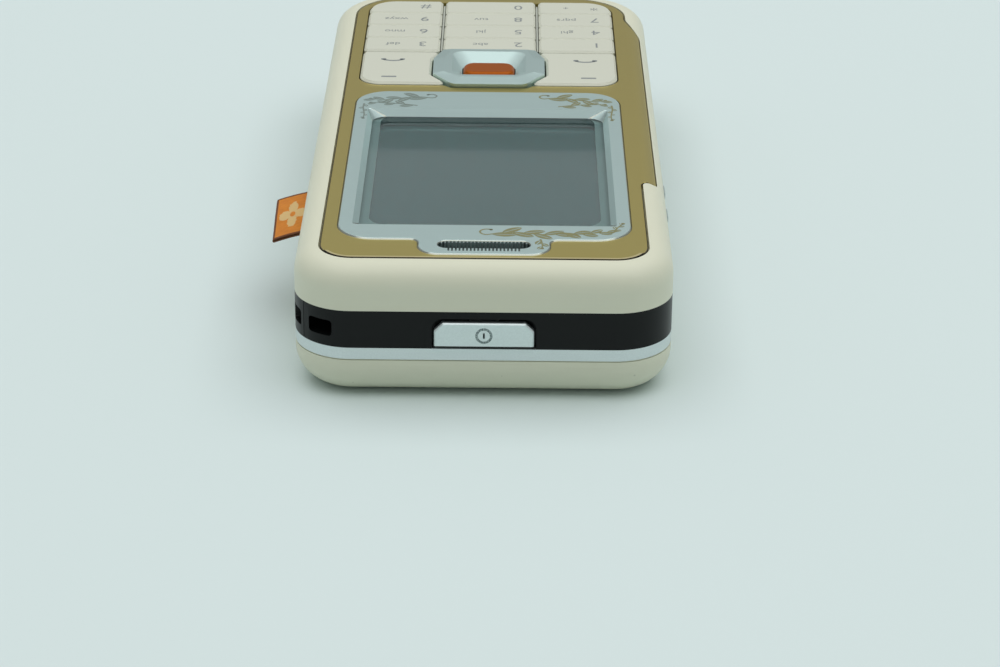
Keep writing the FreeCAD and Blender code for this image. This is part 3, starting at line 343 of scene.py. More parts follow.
@dataclass(frozen=True)
class StampFinish(Finish):
    """Stamped mark that the grain of the metal breaks up."""

    ground: Colour = (1.0, 1.0, 1.0, 1.0)
    grain_per_metre: float = 6500.0
    grain_from: float = 0.4
    contrast: float = 3.0

    def work(self, graph: Graph) -> None:
        """Lets the ground show through the mark in patches.

        Args:
            graph: Graph of the material.
        """
        grain = graph.noise(self.grain_per_metre) - self.grain_from
        grain = graph.clamped(grain * self.contrast)
        graph.feed("Base Color", graph.blend(grain, self.colour, self.ground))


@dataclass(frozen=True)
class PlatedFinish(Finish):
    """Satin metal skin with a faint grain along one axis and a bright line round its rims.

    A rim is a bevel that leans by half a right angle. Its bright line lies between two heights and
    before a place in Y. Under the shade height and before the shade place the rim carries painted
    shade, for the shadow in the crevice beside it. The end line is a painted highlight along the
    face's rounded near end, with a strip of painted shade outside it. Slopes that face a corner,
    under the mitre height, carry painted shade that dims their reflection. Lengths are in metres.
    """

    grain_per_metre: float = 9000.0
    along: tuple[float, float, float] = (0.02, 1.0, 1.0)
    grain_share: float = 0.06
    edge_colour: Colour = (1.0, 1.0, 1.0, 1.0)
    edge_roughness: float = 0.14
    rim_lean: float = 0.707
    rim_spread: float = 0.04
    bright_from: float = 0.0
    bright_to: float = 1.0
    bright_before: float = 1.0
    # Painted shade on the rim in the crevice beside the plate: under this height and before this
    # place.
    shade_below: float = 0.0
    shade_before: float = -1.0
    painted_shade_colour: Colour = (0.03, 0.025, 0.015, 1.0)
    # Painted highlight along the near end, its width, and the width of the painted shade outside
    # it.
    highlight_colour: Colour = (1.0, 1.0, 1.0, 1.0)
    highlight_width: float = 0.0
    shade_width: float = 0.00012
    line_before: float = -0.0472
    line_half: float = 0.01934
    line_near: float = -0.04925
    line_corner: float = 0.00385
    # Painted shade on slopes that face a corner, under the mitre height.
    mitre_shade: float = 1.0
    mitre_reach: float = 6.0
    mitre_below: float = 0.0171

    def end_line(self, graph: Graph, place: Wire, width: float) -> Wire:
        """Strip of the face just inside its rounded near end.

        Args:
            graph: Graph of the material.
            place: Object coordinates.
            width: Width of the strip.

        Returns:
            1 in the strip, else 0.
        """
        across, along = abs(graph.part(place, 0)), graph.part(place, 1)
        side = graph.floored(across - (self.line_half - self.line_corner))
        end = graph.floored(self.line_near + self.line_corner - along)
        reach = (side * side + end * end) ** 0.5
        return (reach > self.line_corner - width) * (along < self.line_before)

    def work(self, graph: Graph) -> None:
        """Draws the grain on the face, then the painted shade on the mitres, the rims with painted
        shade in their crevice, and the end line as a painted highlight with painted shade outside
        it.

        Args:
            graph: Graph of the material.
        """
        grain = graph.noise(self.grain_per_metre, 1.0, self.along)
        face = graph.blend(grain, scaled(self.colour, 1 - self.grain_share), self.colour)
        place = graph.places()
        along, height = graph.part(place, 1), graph.part(place, 2)
        normal = graph.places("Normal")
        # Painted shade: slopes that face a corner are darkened to dim their reflection.
        corner = abs(graph.part(normal, 0) * graph.part(normal, 1))
        mitre = graph.clamped(corner * self.mitre_reach) * (height < self.mitre_below)
        face = graph.blend(mitre, face, scaled(self.colour, self.mitre_shade))
        rim = abs(graph.part(normal, 2) - self.rim_lean) < self.rim_spread
        lit = (height > self.bright_from) * (height < self.bright_to)
        bright = rim * lit * (along < self.bright_before)
        # Painted shade on the rim where it sinks into the crevice beside the plate.
        painted_shade = rim * graph.either(height < self.shade_below, along < self.shade_before)
        lined = graph.blend(bright, face, self.edge_colour)
        # Painted highlight along the rounded near end, with a narrower strip of painted shade
        # outside it.
        if self.highlight_width:
            line = self.end_line(graph, place, self.highlight_width)
            lined = graph.blend(line, lined, self.highlight_colour)
            painted_shade = graph.either(painted_shade, self.end_line(graph, place, self.shade_width))
        graph.feed("Base Color", graph.blend(painted_shade, lined, self.painted_shade_colour))
        satin = grain * self.gloss_drift + self.roughness
        graph.feed("Roughness", satin + bright * (self.edge_roughness - self.roughness))


@dataclass(frozen=True)
class PaneFinish(Finish):
    """Clear pane that lets the lamps through to what lies under it.

    Past a place in Y, in metres, a share of it bends light without mirroring any, because its far
    bevel would show as a bright line there.
    """

    index: float = 1.5
    matt_from: float = -0.003
    matt_reach: float = 0.001
    matt_share: float = 0.5

    def work(self, graph: Graph) -> None:
        """Makes the shader clear, dulls its far end and opens it to shadow rays.

        Args:
            graph: Graph of the material.
        """
        graph.feed("Transmission Weight", 1.0)
        graph.feed("IOR", self.index)
        clear = graph.node("ShaderNodeBsdfTransparent", {}, {"Color": self.colour})
        ray = graph.node("ShaderNodeLightPath", {}, {}, "Is Shadow Ray")
        past = (graph.part(graph.places(), 1) - self.matt_from) / self.matt_reach
        matt = graph.clamped(past) * self.matt_share
        bent = {"Color": self.colour, "Roughness": self.roughness, "IOR": self.index}
        dull = graph.node("ShaderNodeBsdfRefraction", {}, bent)
        solid = Wire(graph, graph.shader.outputs[0])
        pane = graph.node("ShaderNodeMixShader", {}, {0: matt, 1: solid, 2: dull})
        mixed = graph.node("ShaderNodeMixShader", {}, {0: ray, 1: pane, 2: clear})
        graph.join(mixed, graph.output.inputs["Surface"])


@dataclass(frozen=True)
class MeshFinish(Finish):
    """Fine wire cloth drawn on object coordinates."""

    pitch: float = 0.0003
    wire_depth: float = 0.00005
    shade_in_hollows: float = 0.3

    def work(self, graph: Graph) -> None:
        """Crosses two sets of wires in height, and paints shade into the low parts of the weave.

        Args:
            graph: Graph of the material.
        """
        place = graph.places()
        height = graph.weave(graph.part(place, 0), graph.part(place, 1), self.pitch)
        graph.bump(height, self.wire_depth)
        # Painted shade: the low parts between the wires are darker.
        hollow_shade = scaled(self.colour, self.shade_in_hollows)
        graph.feed("Base Color", graph.blend(height, hollow_shade, self.colour))


@dataclass(frozen=True)
class BorderFinish(Finish):
    """Masking print round the screen: grey at the sides, dark inside a rounded window. Metres."""

    inner_colour: Colour = (0.0, 0.0, 0.0, 1.0)
    inner_half: float = 0.0142
    inner_far: float = 0.0019
    inner_corner: float = 0.0032
    inner_near: float = -0.030

    def work(self, graph: Graph) -> None:
        """Darkens what lies inside the window, whose far corners are rounded.

        Args:
            graph: Graph of the material.
        """
        place = graph.places()
        across, along = abs(graph.part(place, 0)), graph.part(place, 1)
        side = graph.floored(across - (self.inner_half - self.inner_corner))
        end = graph.floored(along - (self.inner_far - self.inner_corner))
        inside = (side * side + end * end < self.inner_corner**2) * (along > self.inner_near)
        graph.feed("Base Color", graph.blend(inside, self.colour, self.inner_colour))


@dataclass(frozen=True)
class RibbonFinish(Finish):
    """Woven ribbon on its own UV map in metres, from its middle: u across the fold, v along it.

    Its cloth is mottled, worn patches show a darker shade, a pale flower lies over both, and the
    cloth is darker along its two long edges and at its fold.
    """

    thread: float = 0.00032
    thread_depth: float = 0.00007
    mottle_per_metre: float = 1500.0
    mottle_detail: float = 3.0
    mottle_tone: float = 0.72
    wear_per_metre: float = 420.0
    wear_from: float = 0.42
    wear_contrast: float = 1.6
    wear_in_thread: float = 0.25
    wear_share: float = 0.6
    shade_colour: Colour = (0.5, 0.13, 0.035, 1.0)
    edge_dark_colour: Colour = (0.1, 0.045, 0.035, 1.0)
    edge_dark_width: float = 0.00045
    edge_dark_share: float = 0.85
    fold_share: float = 0.7
    half_width: float = 0.0067
    motif_colour: Colour = (0.72, 0.6, 0.3, 1.0)
    motif_place: float = 0.0022
    motif_half: Point = (0.0016, 0.0040)
    motif_core: float = 0.2
    motif_share: float = 0.7
    petal_depth: float = 0.62
    ragged_per_metre: float = 2600.0
    ragged_share: float = 0.3

    def flower(self, graph: Graph, across: Wire, along: Wire) -> Wire:
        """Petals of a plain woven flower, with edges as ragged as the threads.

        Args:
            graph: Graph of the material.
            across: Distance across the fold.
            along: Distance along the fold.

        Returns:
            1 inside the petals, else 0.
        """
        u = (abs(across) - self.motif_place) / self.motif_half[0]
        v = along / self.motif_half[1]
        angle = graph.maths("ARCTAN2", v, u)
        reach = (u * u + v * v) ** 0.5
        petal = abs(graph.maths("COSINE", angle * 2)) * self.petal_depth + (1 - self.petal_depth)
        ragged = (graph.noise(self.ragged_per_metre) - 0.5) * self.ragged_share
        return (reach + ragged < petal) * (reach > self.motif_core)

    def work(self, graph: Graph) -> None:
        """Weaves the threads, the worn cloth and the flower, and darkens the long edges and the
        fold.

        Args:
            graph: Graph of the material.
        """
        place = graph.places("UV")
        across, along = graph.part(place, 0), graph.part(place, 1)
        height = graph.weave(across, along, self.thread)
        graph.bump(height, self.thread_depth)
        mottle = graph.noise(self.mottle_per_metre, self.mottle_detail)
        cloth = graph.blend(mottle, scaled(self.colour, self.mottle_tone), self.colour)
        worn = (graph.noise(self.wear_per_metre) - self.wear_from) * self.wear_contrast
        worn = (worn + self.wear_in_thread * height) * self.wear_share
        cloth = graph.blend(worn, cloth, self.shade_colour)
        motif = self.flower(graph, across, along) * self.motif_share
        cloth = graph.blend(motif, cloth, self.motif_colour)
        # Darker along the two long edges and at the fold.
        at_edge = abs(along) > self.half_width - self.edge_dark_width
        at_fold = abs(across) < self.edge_dark_width * self.fold_share
        darker_edges = graph.either(at_edge, at_fold) * self.edge_dark_share
        graph.feed("Base Color", graph.blend(darker_edges, cloth, self.edge_dark_colour))


@functools.lru_cache(maxsize=None)
def material_of(finish: Finish) -> bpy.types.Material:
    """Material of a finish, made once."""
    return finish.graph().owner


def paint(mesh: bpy.types.Mesh, finish: Finish) -> None:
    """Gives a mesh one finish."""
    mesh.materials.clear()
    mesh.materials.append(material_of(finish))


CREAM = PaintFinish(
    "cream_paint",
    tone(222, 223, 201),
    0.42,
    specular=0.35,
    relief_per_metre=2600,
    relief_depth=2e-6,
)
SILVER_TRIM = FlakeFinish("silver_trim", tone(220, 229, 229), 0.38, 0.85)
BAND_BLACK = Finish("band_black", tone(13, 16, 16), 0.36, specular=0.2)
# Gold plate: painted shade on its rim in the crevice, and a painted highlight with painted shade
# along its near end.
GOLD = PlatedFinish(
    "gold_plate",
    tone(205, 188, 110),
    0.27,
    0.92,
    edge_colour=tone(163, 150, 120),
    edge_roughness=0.22,
    bright_from=0.016945,
    bright_before=-0.0445,
    shade_below=0.016945,
    shade_before=-0.0478,
    highlight_colour=tone(243, 228, 170),
    highlight_width=0.00045,
)
# Silver frame: painted shade on the bevel slopes that face its corners.
SILVER_FRAME = PlatedFinish(
    "silver_frame",
    tone(198, 219, 217),
    0.4,
    0.85,
    edge_colour=tone(168, 171, 160),
    edge_roughness=0.2,
    bright_to=0.01711,
    mitre_shade=0.42,
)
PANE = PaneFinish("window_pane", tone(244, 250, 250), 0.02, gloss_drift=0.0)
SILVER_KEY = Finish("silver_key", tone(207, 229, 226), 0.34, 0.9)
# Power key: painted shade on its lowest part, for the shadow in the gap above the silver strip.
POWER_SILVER = FlakeFinish("power_silver", tone(226, 237, 236), 0.44, 0.85, shade_below=0.00722)
ORANGE_KEY = Finish("orange_key", tone(160, 80, 8), 0.34, 0.3, specular=0.1)
CREAM_KEYS = Finish("cream_keys", tone(214, 216, 200), 0.3, specular=0.45, coat=0.15)
GREY_KEYS = Finish("grey_keys", tone(168, 180, 178), 0.35, 0.5)
TAG_ORANGE = RibbonFinish("tag_orange", tone(232, 148, 58), 0.85, specular=0.2)
COMB_DARK = MeshFinish("comb_dark", tone(128, 140, 139), 0.4, 0.6)
RIB_GREY = FlakeFinish("rib_grey", tone(156, 172, 171), 0.4, 0.3, flake_share=0.5)
SCREEN_TRAY = Finish("screen_tray", tone(40, 44, 46), 0.35)
SCREEN_GLASS = Finish("screen_glass", tone(24, 62, 62), 0.12, specular=0.1)
BORDER_GREY = BorderFinish(
    "border_grey", tone(152, 177, 175), 0.6, specular=0.2, inner_colour=SCREEN_GLASS.colour
)
RUBBER = Finish("grey_rubber", tone(176, 180, 170), 0.8, specular=0.3)
BOARD_GREEN = Finish("board_green", tone(34, 84, 56), 0.35, coat=0.3)
CHIP_BLACK = Finish("chip_black", tone(30, 31, 33), 0.55)
DOME_FILM = Finish("dome_film", tone(206, 208, 202), 0.45)
TIN = Finish("tin_sheet", tone(196, 198, 196), 0.32, 1.0)
SCREW_STEEL = Finish("screw_steel", tone(110, 112, 114), 0.35, 1.0)
CONTACT_GOLD = Finish("contact_gold", tone(222, 190, 120), 0.28, 1.0)
BATTERY_WRAP = Finish("battery_wrap", tone(64, 68, 72), 0.45)
SOCKET_BLACK = Finish("socket_black", tone(28, 29, 30), 0.5)
SPEAKER_CLOTH = MeshFinish("speaker_cloth", tone(60, 62, 62), 0.7)
LENS_GLASS = Finish(
    "lens_glass", tone(18, 16, 26), 0.05, specular=0.8, coat=1.0, coat_roughness=0.02
)
PRINT_GREY = Finish("key_print", tone(136, 142, 142), 0.5)
MARK_GREY = StampFinish("mark_print", tone(96, 110, 110), 0.5, 0.4, ground=tone(186, 202, 200))
TABLE_PAINT = Finish("table", tone(216, 229, 228), 0.9, specular=0.1)
LEAF_GOLD = Finish("leaf_gold", tone(154, 152, 108), 0.36, 0.6)
LEAF_GREY = Finish("leaf_grey", tone(142, 156, 148), 0.36, 0.6)


# Modelling tools


def turned(degrees: float, axis: str = "Z") -> Matrix:
    """Turn by degrees about an axis."""
    return Matrix.Rotation(math.radians(degrees), 4, axis)


def filling(middle: Sequence[float], size: Sequence[float]) -> Matrix:
    """Place that brings a shape of unit size to a middle and a size."""
    return Matrix.Translation(middle) @ Matrix.Diagonal((*size, 1))


class Facing(Enum):
    """Side that a print faces, with the turn that brings a flat print there."""

    UP = (0.0, "Z")
    UP_TO_USER = (180.0, "Z")
    EARPIECE_END = (90.0, "X")

    def turn(self) -> Matrix:
        """Turn of this side."""
        return turned(*self.value)


class Sketch:
    """Flat shapes drawn in millimetres, then raised a little and put in their place."""

    CAP_SHARE = 0.7
    DISC_CORNERS = 12
    LEAF_CORNERS = 20
    BAR_CORNER = 0.3
    LEAF_POINT = 0.35
    MIDRIB = 0.16
    STEP = 0.002
    WELD = 1e-5

    def __init__(self) -> None:
        """Starts an empty drawing."""
        self.shape = bmesh.new()

    def take(self, part: bmesh.types.BMesh, place: Matrix) -> None:
        """Moves a finished flat part into the drawing.

        Args:
            part: The part; it is freed.
            place: Where it goes.
        """
        flat = finished(part, "part", place)
        self.shape.from_mesh(flat)
        bpy.data.meshes.remove(flat)

    def disc(self, x: float, y: float, radius: float) -> None:
        """Round dot.

        Args:
            x: X of its middle.
            y: Y of its middle.
            radius: Its radius.
        """
        dot = bmesh.new()
        bmesh.ops.create_circle(dot, cap_ends=True, radius=radius, segments=self.DISC_CORNERS)
        self.take(dot, Matrix.Translation((x, y, 0)))

    def bar(self, x: float, y: float, length: float, width: float) -> None:
        """Straight bar with rounded corners.

        Args:
            x: X of its middle.
            y: Y of its middle.
            length: Its length.
            width: Its width.
        """
        bar = bmesh.new()
        size = Matrix.Diagonal((length, width, 1, 1))
        bmesh.ops.create_grid(bar, x_segments=1, y_segments=1, size=0.5, matrix=size)
        bevel(bar, bar.verts[:], width * self.BAR_CORNER, 2, "VERTICES")
        self.take(bar, Matrix.Translation((x, y, 0)))

    def arc(
        self,
        x: float,
        y: float,
        radius: float,
        width: float,
        start: float,
        sweep: float,
        steps: int = 14,
    ) -> None:
        """Ribbon along part of a circle.

        Args:
            x: X of the circle's middle.
            y: Y of the circle's middle.
            radius: Radius of the ribbon's middle line.
            width: Width of the ribbon.
            start: Where it starts, in degrees from +X.
            sweep: How far it goes round, in degrees.
            steps: Number of faces.
        """
        arc = bmesh.new()
        ends = [arc.verts.new((r, 0, 0)) for r in (radius - width / 2, radius + width / 2)]
        bmesh.ops.spin(
            arc,
            geom=[*ends, arc.edges.new(ends)],
            cent=(0, 0, 0),
            axis=(0, 0, 1),
            angle=math.radians(sweep),
            steps=steps,
            use_merge=abs(sweep) >= 360,
        )
        self.take(arc, Matrix.Translation((x, y, 0)) @ turned(start))

    def leaf(
        self, x: float, y: float, length: float, width: float, turn: float, step: int
    ) -> None:
        """Pointed leaf with a bare midrib, grown from a place in a direction given in degrees.

        Args:
            x: X of the place.
            y: Y of the place.
            length: Length of the leaf.
            width: Width of the leaf.
            turn: Direction it grows in.
            step: Coat of print it belongs to; coats that cross lie on each other.
        """
        grow = Matrix.Translation((x, y, step * self.STEP)) @ turned(turn)
        grow = grow @ Matrix.Diagonal((length, width, 1, 1)) @ Matrix.Translation((0.5, 0, 0))
        for side in (1, -1):
            half = bmesh.new()
            bmesh.ops.create_circle(half, cap_ends=True, radius=0.5, segments=self.LEAF_CORNERS)
            for vertex in half.verts:
                along = vertex.co.x * 2
                vertex.co.y *= max(0.0, 1 - along * along) ** self.LEAF_POINT
            bmesh.ops.bisect_plane(
                half,
                geom=[*half.verts, *half.edges, *half.faces],
                plane_co=(0, side * self.MIDRIB / width / 2, 0),
                plane_no=(0, side, 0),
                clear_inner=True,
            )
            self.take(half, grow)

    def words(self, text: str, x: float, y: float, height: float) -> None:
        """Lettering centred on a place.

        Args:
            text: What it says.
            x: X of its middle.
            y: Y of its middle.
            height: Height of its capitals.
        """
        curve = bpy.data.curves.new("words", "FONT")
        curve.body = text
        curve.size = height / self.CAP_SHARE
        curve.resolution_u = 3
        curve.align_x = "CENTER"
        curve.align_y = "CENTER"
        holder = bpy.data.objects.new("words", curve)
        bpy.context.scene.collection.objects.link(holder)
        graph = bpy.context.evaluated_depsgraph_get()
        flat = bpy.data.meshes.new_from_object(holder.evaluated_get(graph))
        flat.transform(Matrix.Translation((x, y, 0)))
        self.shape.from_mesh(flat)
        bpy.data.objects.remove(holder)
        bpy.data.curves.remove(curve)
        bpy.data.meshes.remove(flat)

    def raised(
        self, name: str, thickness: float, facing: Facing, place: Sequence[float]
    ) -> bpy.types.Mesh:
        """Finished mesh of the drawing.

        Args:
            name: Name of the mesh.
            thickness: Height of the print in millimetres.
            facing: Side it faces.
            place: Where the drawing's origin goes, in millimetres.

        Returns:
            The mesh in metres, in place.
        """
        bmesh.ops.remove_doubles(self.shape, verts=self.shape.verts, dist=self.WELD)
        self.shape.normal_update()
        for face in self.shape.faces:
            if face.normal.z < 0:
                face.normal_flip()
        made = bmesh.ops.extrude_face_region(self.shape, geom=self.shape.faces[:])
        tops = [item for item in made["geom"] if isinstance(item, bmesh.types.BMVert)]
        bmesh.ops.translate(self.shape, verts=tops, vec=(0, 0, thickness))
        bmesh.ops.recalc_face_normals(self.shape, faces=self.shape.faces)
        whole = TO_METRES @ Matrix.Translation(place) @ facing.turn()
        return finished(self.shape, name, whole)


def finished(shape: bmesh.types.BMesh, name: str, place: Matrix) -> bpy.types.Mesh:
    """Mesh of a bmesh after a last transform.

    Args:
        shape: The bmesh; it is freed.
        name: Name of the mesh.
        place: The transform.

    Returns:
        The mesh.
    """
    bmesh.ops.transform(shape, matrix=place, verts=shape.verts)
    mesh = bpy.data.meshes.new(name)
    shape.to_mesh(mesh)
    shape.free()
    return mesh


def bevel(
    shape: bmesh.types.BMesh,
    geometry: Sequence[Any],
    offset: float,
    segments: int,
    affect: str = "EDGES",
) -> None:
    """Rounds edges, or the corners of a flat face.

    Args:
        shape: The bmesh that holds them.
        geometry: The edges or corners.
        offset: How far the rounding reaches.
        segments: Faces across it.
        affect: EDGES or VERTICES.
    """
    bmesh.ops.bevel(
        shape,
        geom=geometry,
        offset=offset,
        segments=segments,
        profile=0.5,
        affect=affect,
        material=-1,
    )


@dataclass(frozen=True)
class Vine:
    """Waving stem with leaves in turn on both sides. Sizes in millimetres, turns in degrees."""

    root: Point
    turn: float
    length: float
    sway: float
    waves: float
    leaves: int
    leaf: Point
    spread: float = 30.0
    curl: float = 0.0
    tip_share: float = 0.6
    width: float = 0.24
    side: int = 1
    level: float = 0.0

    CUTS = 32
    FIRST_LEAF = 0.4
    AHEAD = 0.01
    CURL_ARC = (-90, -230)
    CURL_END = (0.64, 1.76)
    CURL_BUD = 0.9

    def lift(self, along: float) -> float:
        """Height of the stem over its straight line at a share of its length."""
        return self.sway * math.sin(2 * math.pi * self.waves * along)

    def draw(self, sketch: Sketch) -> None:
        """Draws the stem, its leaves, a bud at its tip and a curl at its root.

        Args:
            sketch: Drawing that takes them.
        """
        own = Sketch()
        stem = bmesh.new()
        bmesh.ops.create_grid(stem, x_segments=self.CUTS, y_segments=1, size=0.5)
        for vertex in stem.verts:
            along = vertex.co.x + 0.5
            across = vertex.co.y * self.width * (1 - along * (1 - self.tip_share))
            vertex.co = (along * self.length, self.lift(along) + across, 0)
        own.take(stem, Matrix.Identity(4))
        for index in range(self.leaves):
            along = (index + self.FIRST_LEAF) / self.leaves
            ahead = along + self.AHEAD
            climb = self.lift(ahead) - self.lift(along)
            slope = math.atan2(climb, (ahead - along) * self.length)
            turn = math.degrees(slope) + self.spread * (1 if index % 2 else -1)
            size = 1 - along * (1 - self.tip_share)
            length, width = (side * size for side in self.leaf)
            own.leaf(along * self.length, self.lift(along), length, width, turn, 1 + index % 3)
        own.disc(self.length, self.lift(1.0), self.width)
        if self.curl:
            own.arc(0, self.curl, self.curl, self.width, *self.CURL_ARC)
            x, y = (self.curl * share for share in self.CURL_END)
            own.disc(x, y, self.width * self.CURL_BUD)
        place = Matrix.Translation((self.side * self.root[0], self.root[1], self.level))
        place = place @ Matrix.Diagonal((self.side, 1, 1, 1)) @ turned(self.turn)
        sketch.take(own.shape, place)


def block(
    low: Sequence[float],
    high: Sequence[float],
    corner: float = 0.0,
    edge: float = 0.0,
    steps: int = 5,
) -> bmesh.types.BMesh:
    """Block between two corners in millimetres, with rounded upright edges and softened flat ones.

    Args:
        low: Lowest corner.
        high: Highest corner.
        corner: Radius of the upright edges.
        edge: Size of the bevel round the top and bottom.
        steps: Faces round each upright edge.

    Returns:
        The block's bmesh.
    """
    shape = bmesh.new()
    middle = [(a + b) / 2 for a, b in zip(low, high)]
    size = [b - a for a, b in zip(low, high)]
    bmesh.ops.create_cube(shape, size=1.0, matrix=filling(middle, size))
    for upright, offset, segments in ((True, corner, steps), (False, edge, 2)):
        if offset:
            edges = [e for e in shape.edges if (rise(e) > size[2] / 2) == upright]
            bevel(shape, edges, offset, segments)
    return shape


def rise(edge: bmesh.types.BMEdge) -> float:
    """Difference in height between the ends of an edge."""
    return abs(edge.verts[0].co.z - edge.verts[1].co.z)


def ring(
    middle: Sequence[float], inner: float, outer: float, height: float, segments: int = 48
) -> bmesh.types.BMesh:
    """Flat ring round an upright axis, from a spun section in millimetres.

    Args:
        middle: Middle of its underside.
        inner: Inner radius.
        outer: Outer radius.
        height: Its thickness.
        segments: Faces round it.

    Returns:
        The ring's bmesh.
    """
    shape = bmesh.new()
    x, y, z = middle
    section = [
        shape.verts.new((x + r, y, z + h))
        for r, h in ((inner, 0), (outer, 0), (outer, height), (inner, height))
    ]
    edges = [shape.edges.new((section[i], section[(i + 1) % 4])) for i in range(4)]
    bmesh.ops.spin(
        shape,
        geom=[*section, *edges],
        cent=(x, y, z),
        axis=(0, 0, 1),
        angle=2 * math.pi,
        steps=segments,
        use_merge=True,
    )
    bmesh.ops.recalc_face_normals(shape, faces=shape.faces)
    return shape


# Sub-assemblies


class SubAssembly:
    """A group of pieces that are built and dressed together."""

    def dress(self, finish: Finish, *nodes: str) -> None:
        """Gives carried-over pieces a finish.

        Args:
            finish: The finish.
            nodes: Names of the pieces.
        """
        for node in nodes:
            paint(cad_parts[node].data, finish)

    def add(
        self, name: str, mesh: bpy.types.Mesh, finish: Finish, slot: str, body: str = "phone"
    ) -> bpy.types.Object:
        """Makes a piece of a finished mesh.

        Args:
            name: Name of the piece.
            mesh: Mesh in metres, in place.
            finish: Its finish.
            slot: Name of a material slot of the record; not used.
            body: Body that it moves with.

        Returns:
            The piece.
        """
        paint(mesh, finish)
        made = bpy.data.objects.new(name, mesh)
        bpy.context.scene.collection.objects.link(made)
        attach(made, body)
        log.info("  %s: %d faces", name, len(mesh.polygons))
        return made

    def make(
        self, name: str, shape: bmesh.types.BMesh, finish: Finish, slot: str
    ) -> bpy.types.Object:
        """Makes a piece of the phone's body from a bmesh in millimetres, as add does."""
        return self.add(name, finished(shape, name, TO_METRES), finish, slot)

    def box_of(self, node: str) -> tuple[Vector, Vector]:
        """Lowest and highest corner of a carried-over piece, in millimetres."""
        low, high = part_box(node)
        return low / MM, high / MM

    def build(self) -> None:
        """Builds and dresses every piece of the group."""
        raise NotImplementedError


@dataclass
class Housing(SubAssembly):
    """Cream shells, silver strip, black band and gold plate."""

    def build(self) -> None:
        """Dresses the shells, the strip, the band and the plate."""
        self.dress(CREAM, "front_shell", "rear_shell", "battery_cover")
        self.dress(SILVER_TRIM, "trim_ring")
        self.dress(BAND_BLACK, "mid_chassis")
        self.dress(GOLD, "front_plate")


@dataclass
class Display(SubAssembly):
    """Bezel, window, screen and the comb of the earpiece."""

    screen_gap: float = 0.06
    screen_corner: float = 3.14
    screen_thickness: float = 0.13
    screen_lift: float = 0.005
    screen_edge: float = 0.03
    recess_half: float = 14.8
    recess_near: float = -37.45
    recess_far: float = -0.91
    recess_floor: float = 14.85
    leaf_relief: float = 0.022
    leaf_level: float = 17.142
    slot_middle: Sequence[float] = (0.0, -45.38, 16.19)
    slot_half: float = 5.5
    slot_round: float = 1.13
    rib_pitch: float = 0.44
    rib_size: Sequence[float] = (0.2, 0.3, 0.84)
    rib_clear: float = 0.01
    rib_bevel: float = 0.25
    vine_step: float = 0.0005
    near_vines: Sequence[Vine] = (
        Vine((0.4, -42.4), 5.0, 8.8, 0.45, 0.9, 7, (3.1, 1.3), 24.0, 0.85, 0.8),
        Vine((9.3, -41.6), -1.0, 6.0, -0.3, 0.8, 6, (2.5, 1.2), 25.0, 0.0, 0.6),
        Vine((15.5, -41.4), 66.0, 3.0, 0.12, 0.5, 4, (1.1, 0.55), 40.0),
        Vine((6.7, -43.7), -86.0, 2.8, 0.1, 0.5, 3, (1.5, 0.85), 34.0),
    )
    far_vines: Sequence[Vine] = (
        Vine((7.6, 5.0), -3.0, 8.2, 0.5, 1.0, 7, (2.8, 1.2), 30.0, 0.7),
        Vine((9.4, 2.0), 9.0, 6.4, 0.3, 0.5, 5, (2.1, 0.95), 30.0),
        Vine((16.55, 2.6), -91.0, 5.6, 0.1, 1.0, 6, (1.0, 0.5), 40.0),
    )

    def screen(self) -> None:
        """Dark glass of the screen in its recess."""
        half = self.recess_half - self.screen_gap
        near, far = self.recess_near + self.screen_gap, self.recess_far - self.screen_gap
        low = (-half, near, self.recess_floor + self.screen_lift)
        high = (half, far, self.recess_floor + self.screen_thickness)
        shape = block(low, high, self.screen_corner, self.screen_edge)
        self.make("screen_glass", shape, SCREEN_GLASS, "screen")

    def slot_ribs(self) -> None:
        """Upright ribs on the comb, along the far wall of the earpiece slot and round its ends."""
        shape = bmesh.new()
        x, y, floor = self.slot_middle
        straight = self.slot_half - self.slot_round
        count = int(2 * self.slot_half / self.rib_pitch) - 1
        for index in range(count):
            along = (index - (count - 1) / 2) * self.rib_pitch
            past = max(0.0, abs(along) - straight)
            back = math.sqrt(self.slot_round**2 - past**2) - self.rib_clear
            if back < self.rib_size[1]:
                continue
            width, depth, height = self.rib_size
            middle = (x + along, y + back - depth / 2, floor + height / 2)
            place = filling(middle, self.rib_size)
            made = bmesh.ops.create_cube(shape, size=1.0, matrix=place)
            edges = dict.fromkeys(edge for corner in made["verts"] for edge in corner.link_edges)
            upper = [e for e in edges if all(end.co.z > middle[2] for end in e.verts)]
            bevel(shape, upper, width * self.rib_bevel, 1)
        self.make("slot_ribs", shape, RIB_GREY, "dark_mesh")

    def branch(self, vines: Sequence[Vine], side: int = 1) -> Sketch:
        """Drawing of a few vines.

        Args:
            vines: The vines.
            side: 1 as they are given, -1 mirrored to the left.

        Returns:
            The drawing.
        """
        sketch = Sketch()
        for index, vine in enumerate(vines):
            replace(vine, side=side, level=index * self.vine_step).draw(sketch)
        return sketch

    def sprigs(self) -> None:
        """Printed leaf sprigs on the bezel; the middle of the far strip stays bare."""
        for name, sketch, finish in (
            ("sprig_near", self.branch(self.near_vines), LEAF_GOLD),
            ("sprig_far_right", self.branch(self.far_vines), LEAF_GOLD),
            ("sprig_far_left", self.branch(self.far_vines, -1), LEAF_GREY),
        ):
            mesh = sketch.raised(name, self.leaf_relief, Facing.UP, (0, 0, self.leaf_level))
            self.add(name, mesh, finish, "gold_plate")

    def build(self) -> None:
        """Dresses the frame, the pane and the parts under it."""
        self.dress(SILVER_FRAME, "display_bezel")
        self.dress(PANE, "display_window", "camera_window")
        self.dress(COMB_DARK, "earpiece_grille")
        self.dress(SCREEN_TRAY, "display_module")
        self.dress(BORDER_GREY, "display_gasket")
        self.screen()
        self.slot_ribs()
        self.sprigs()


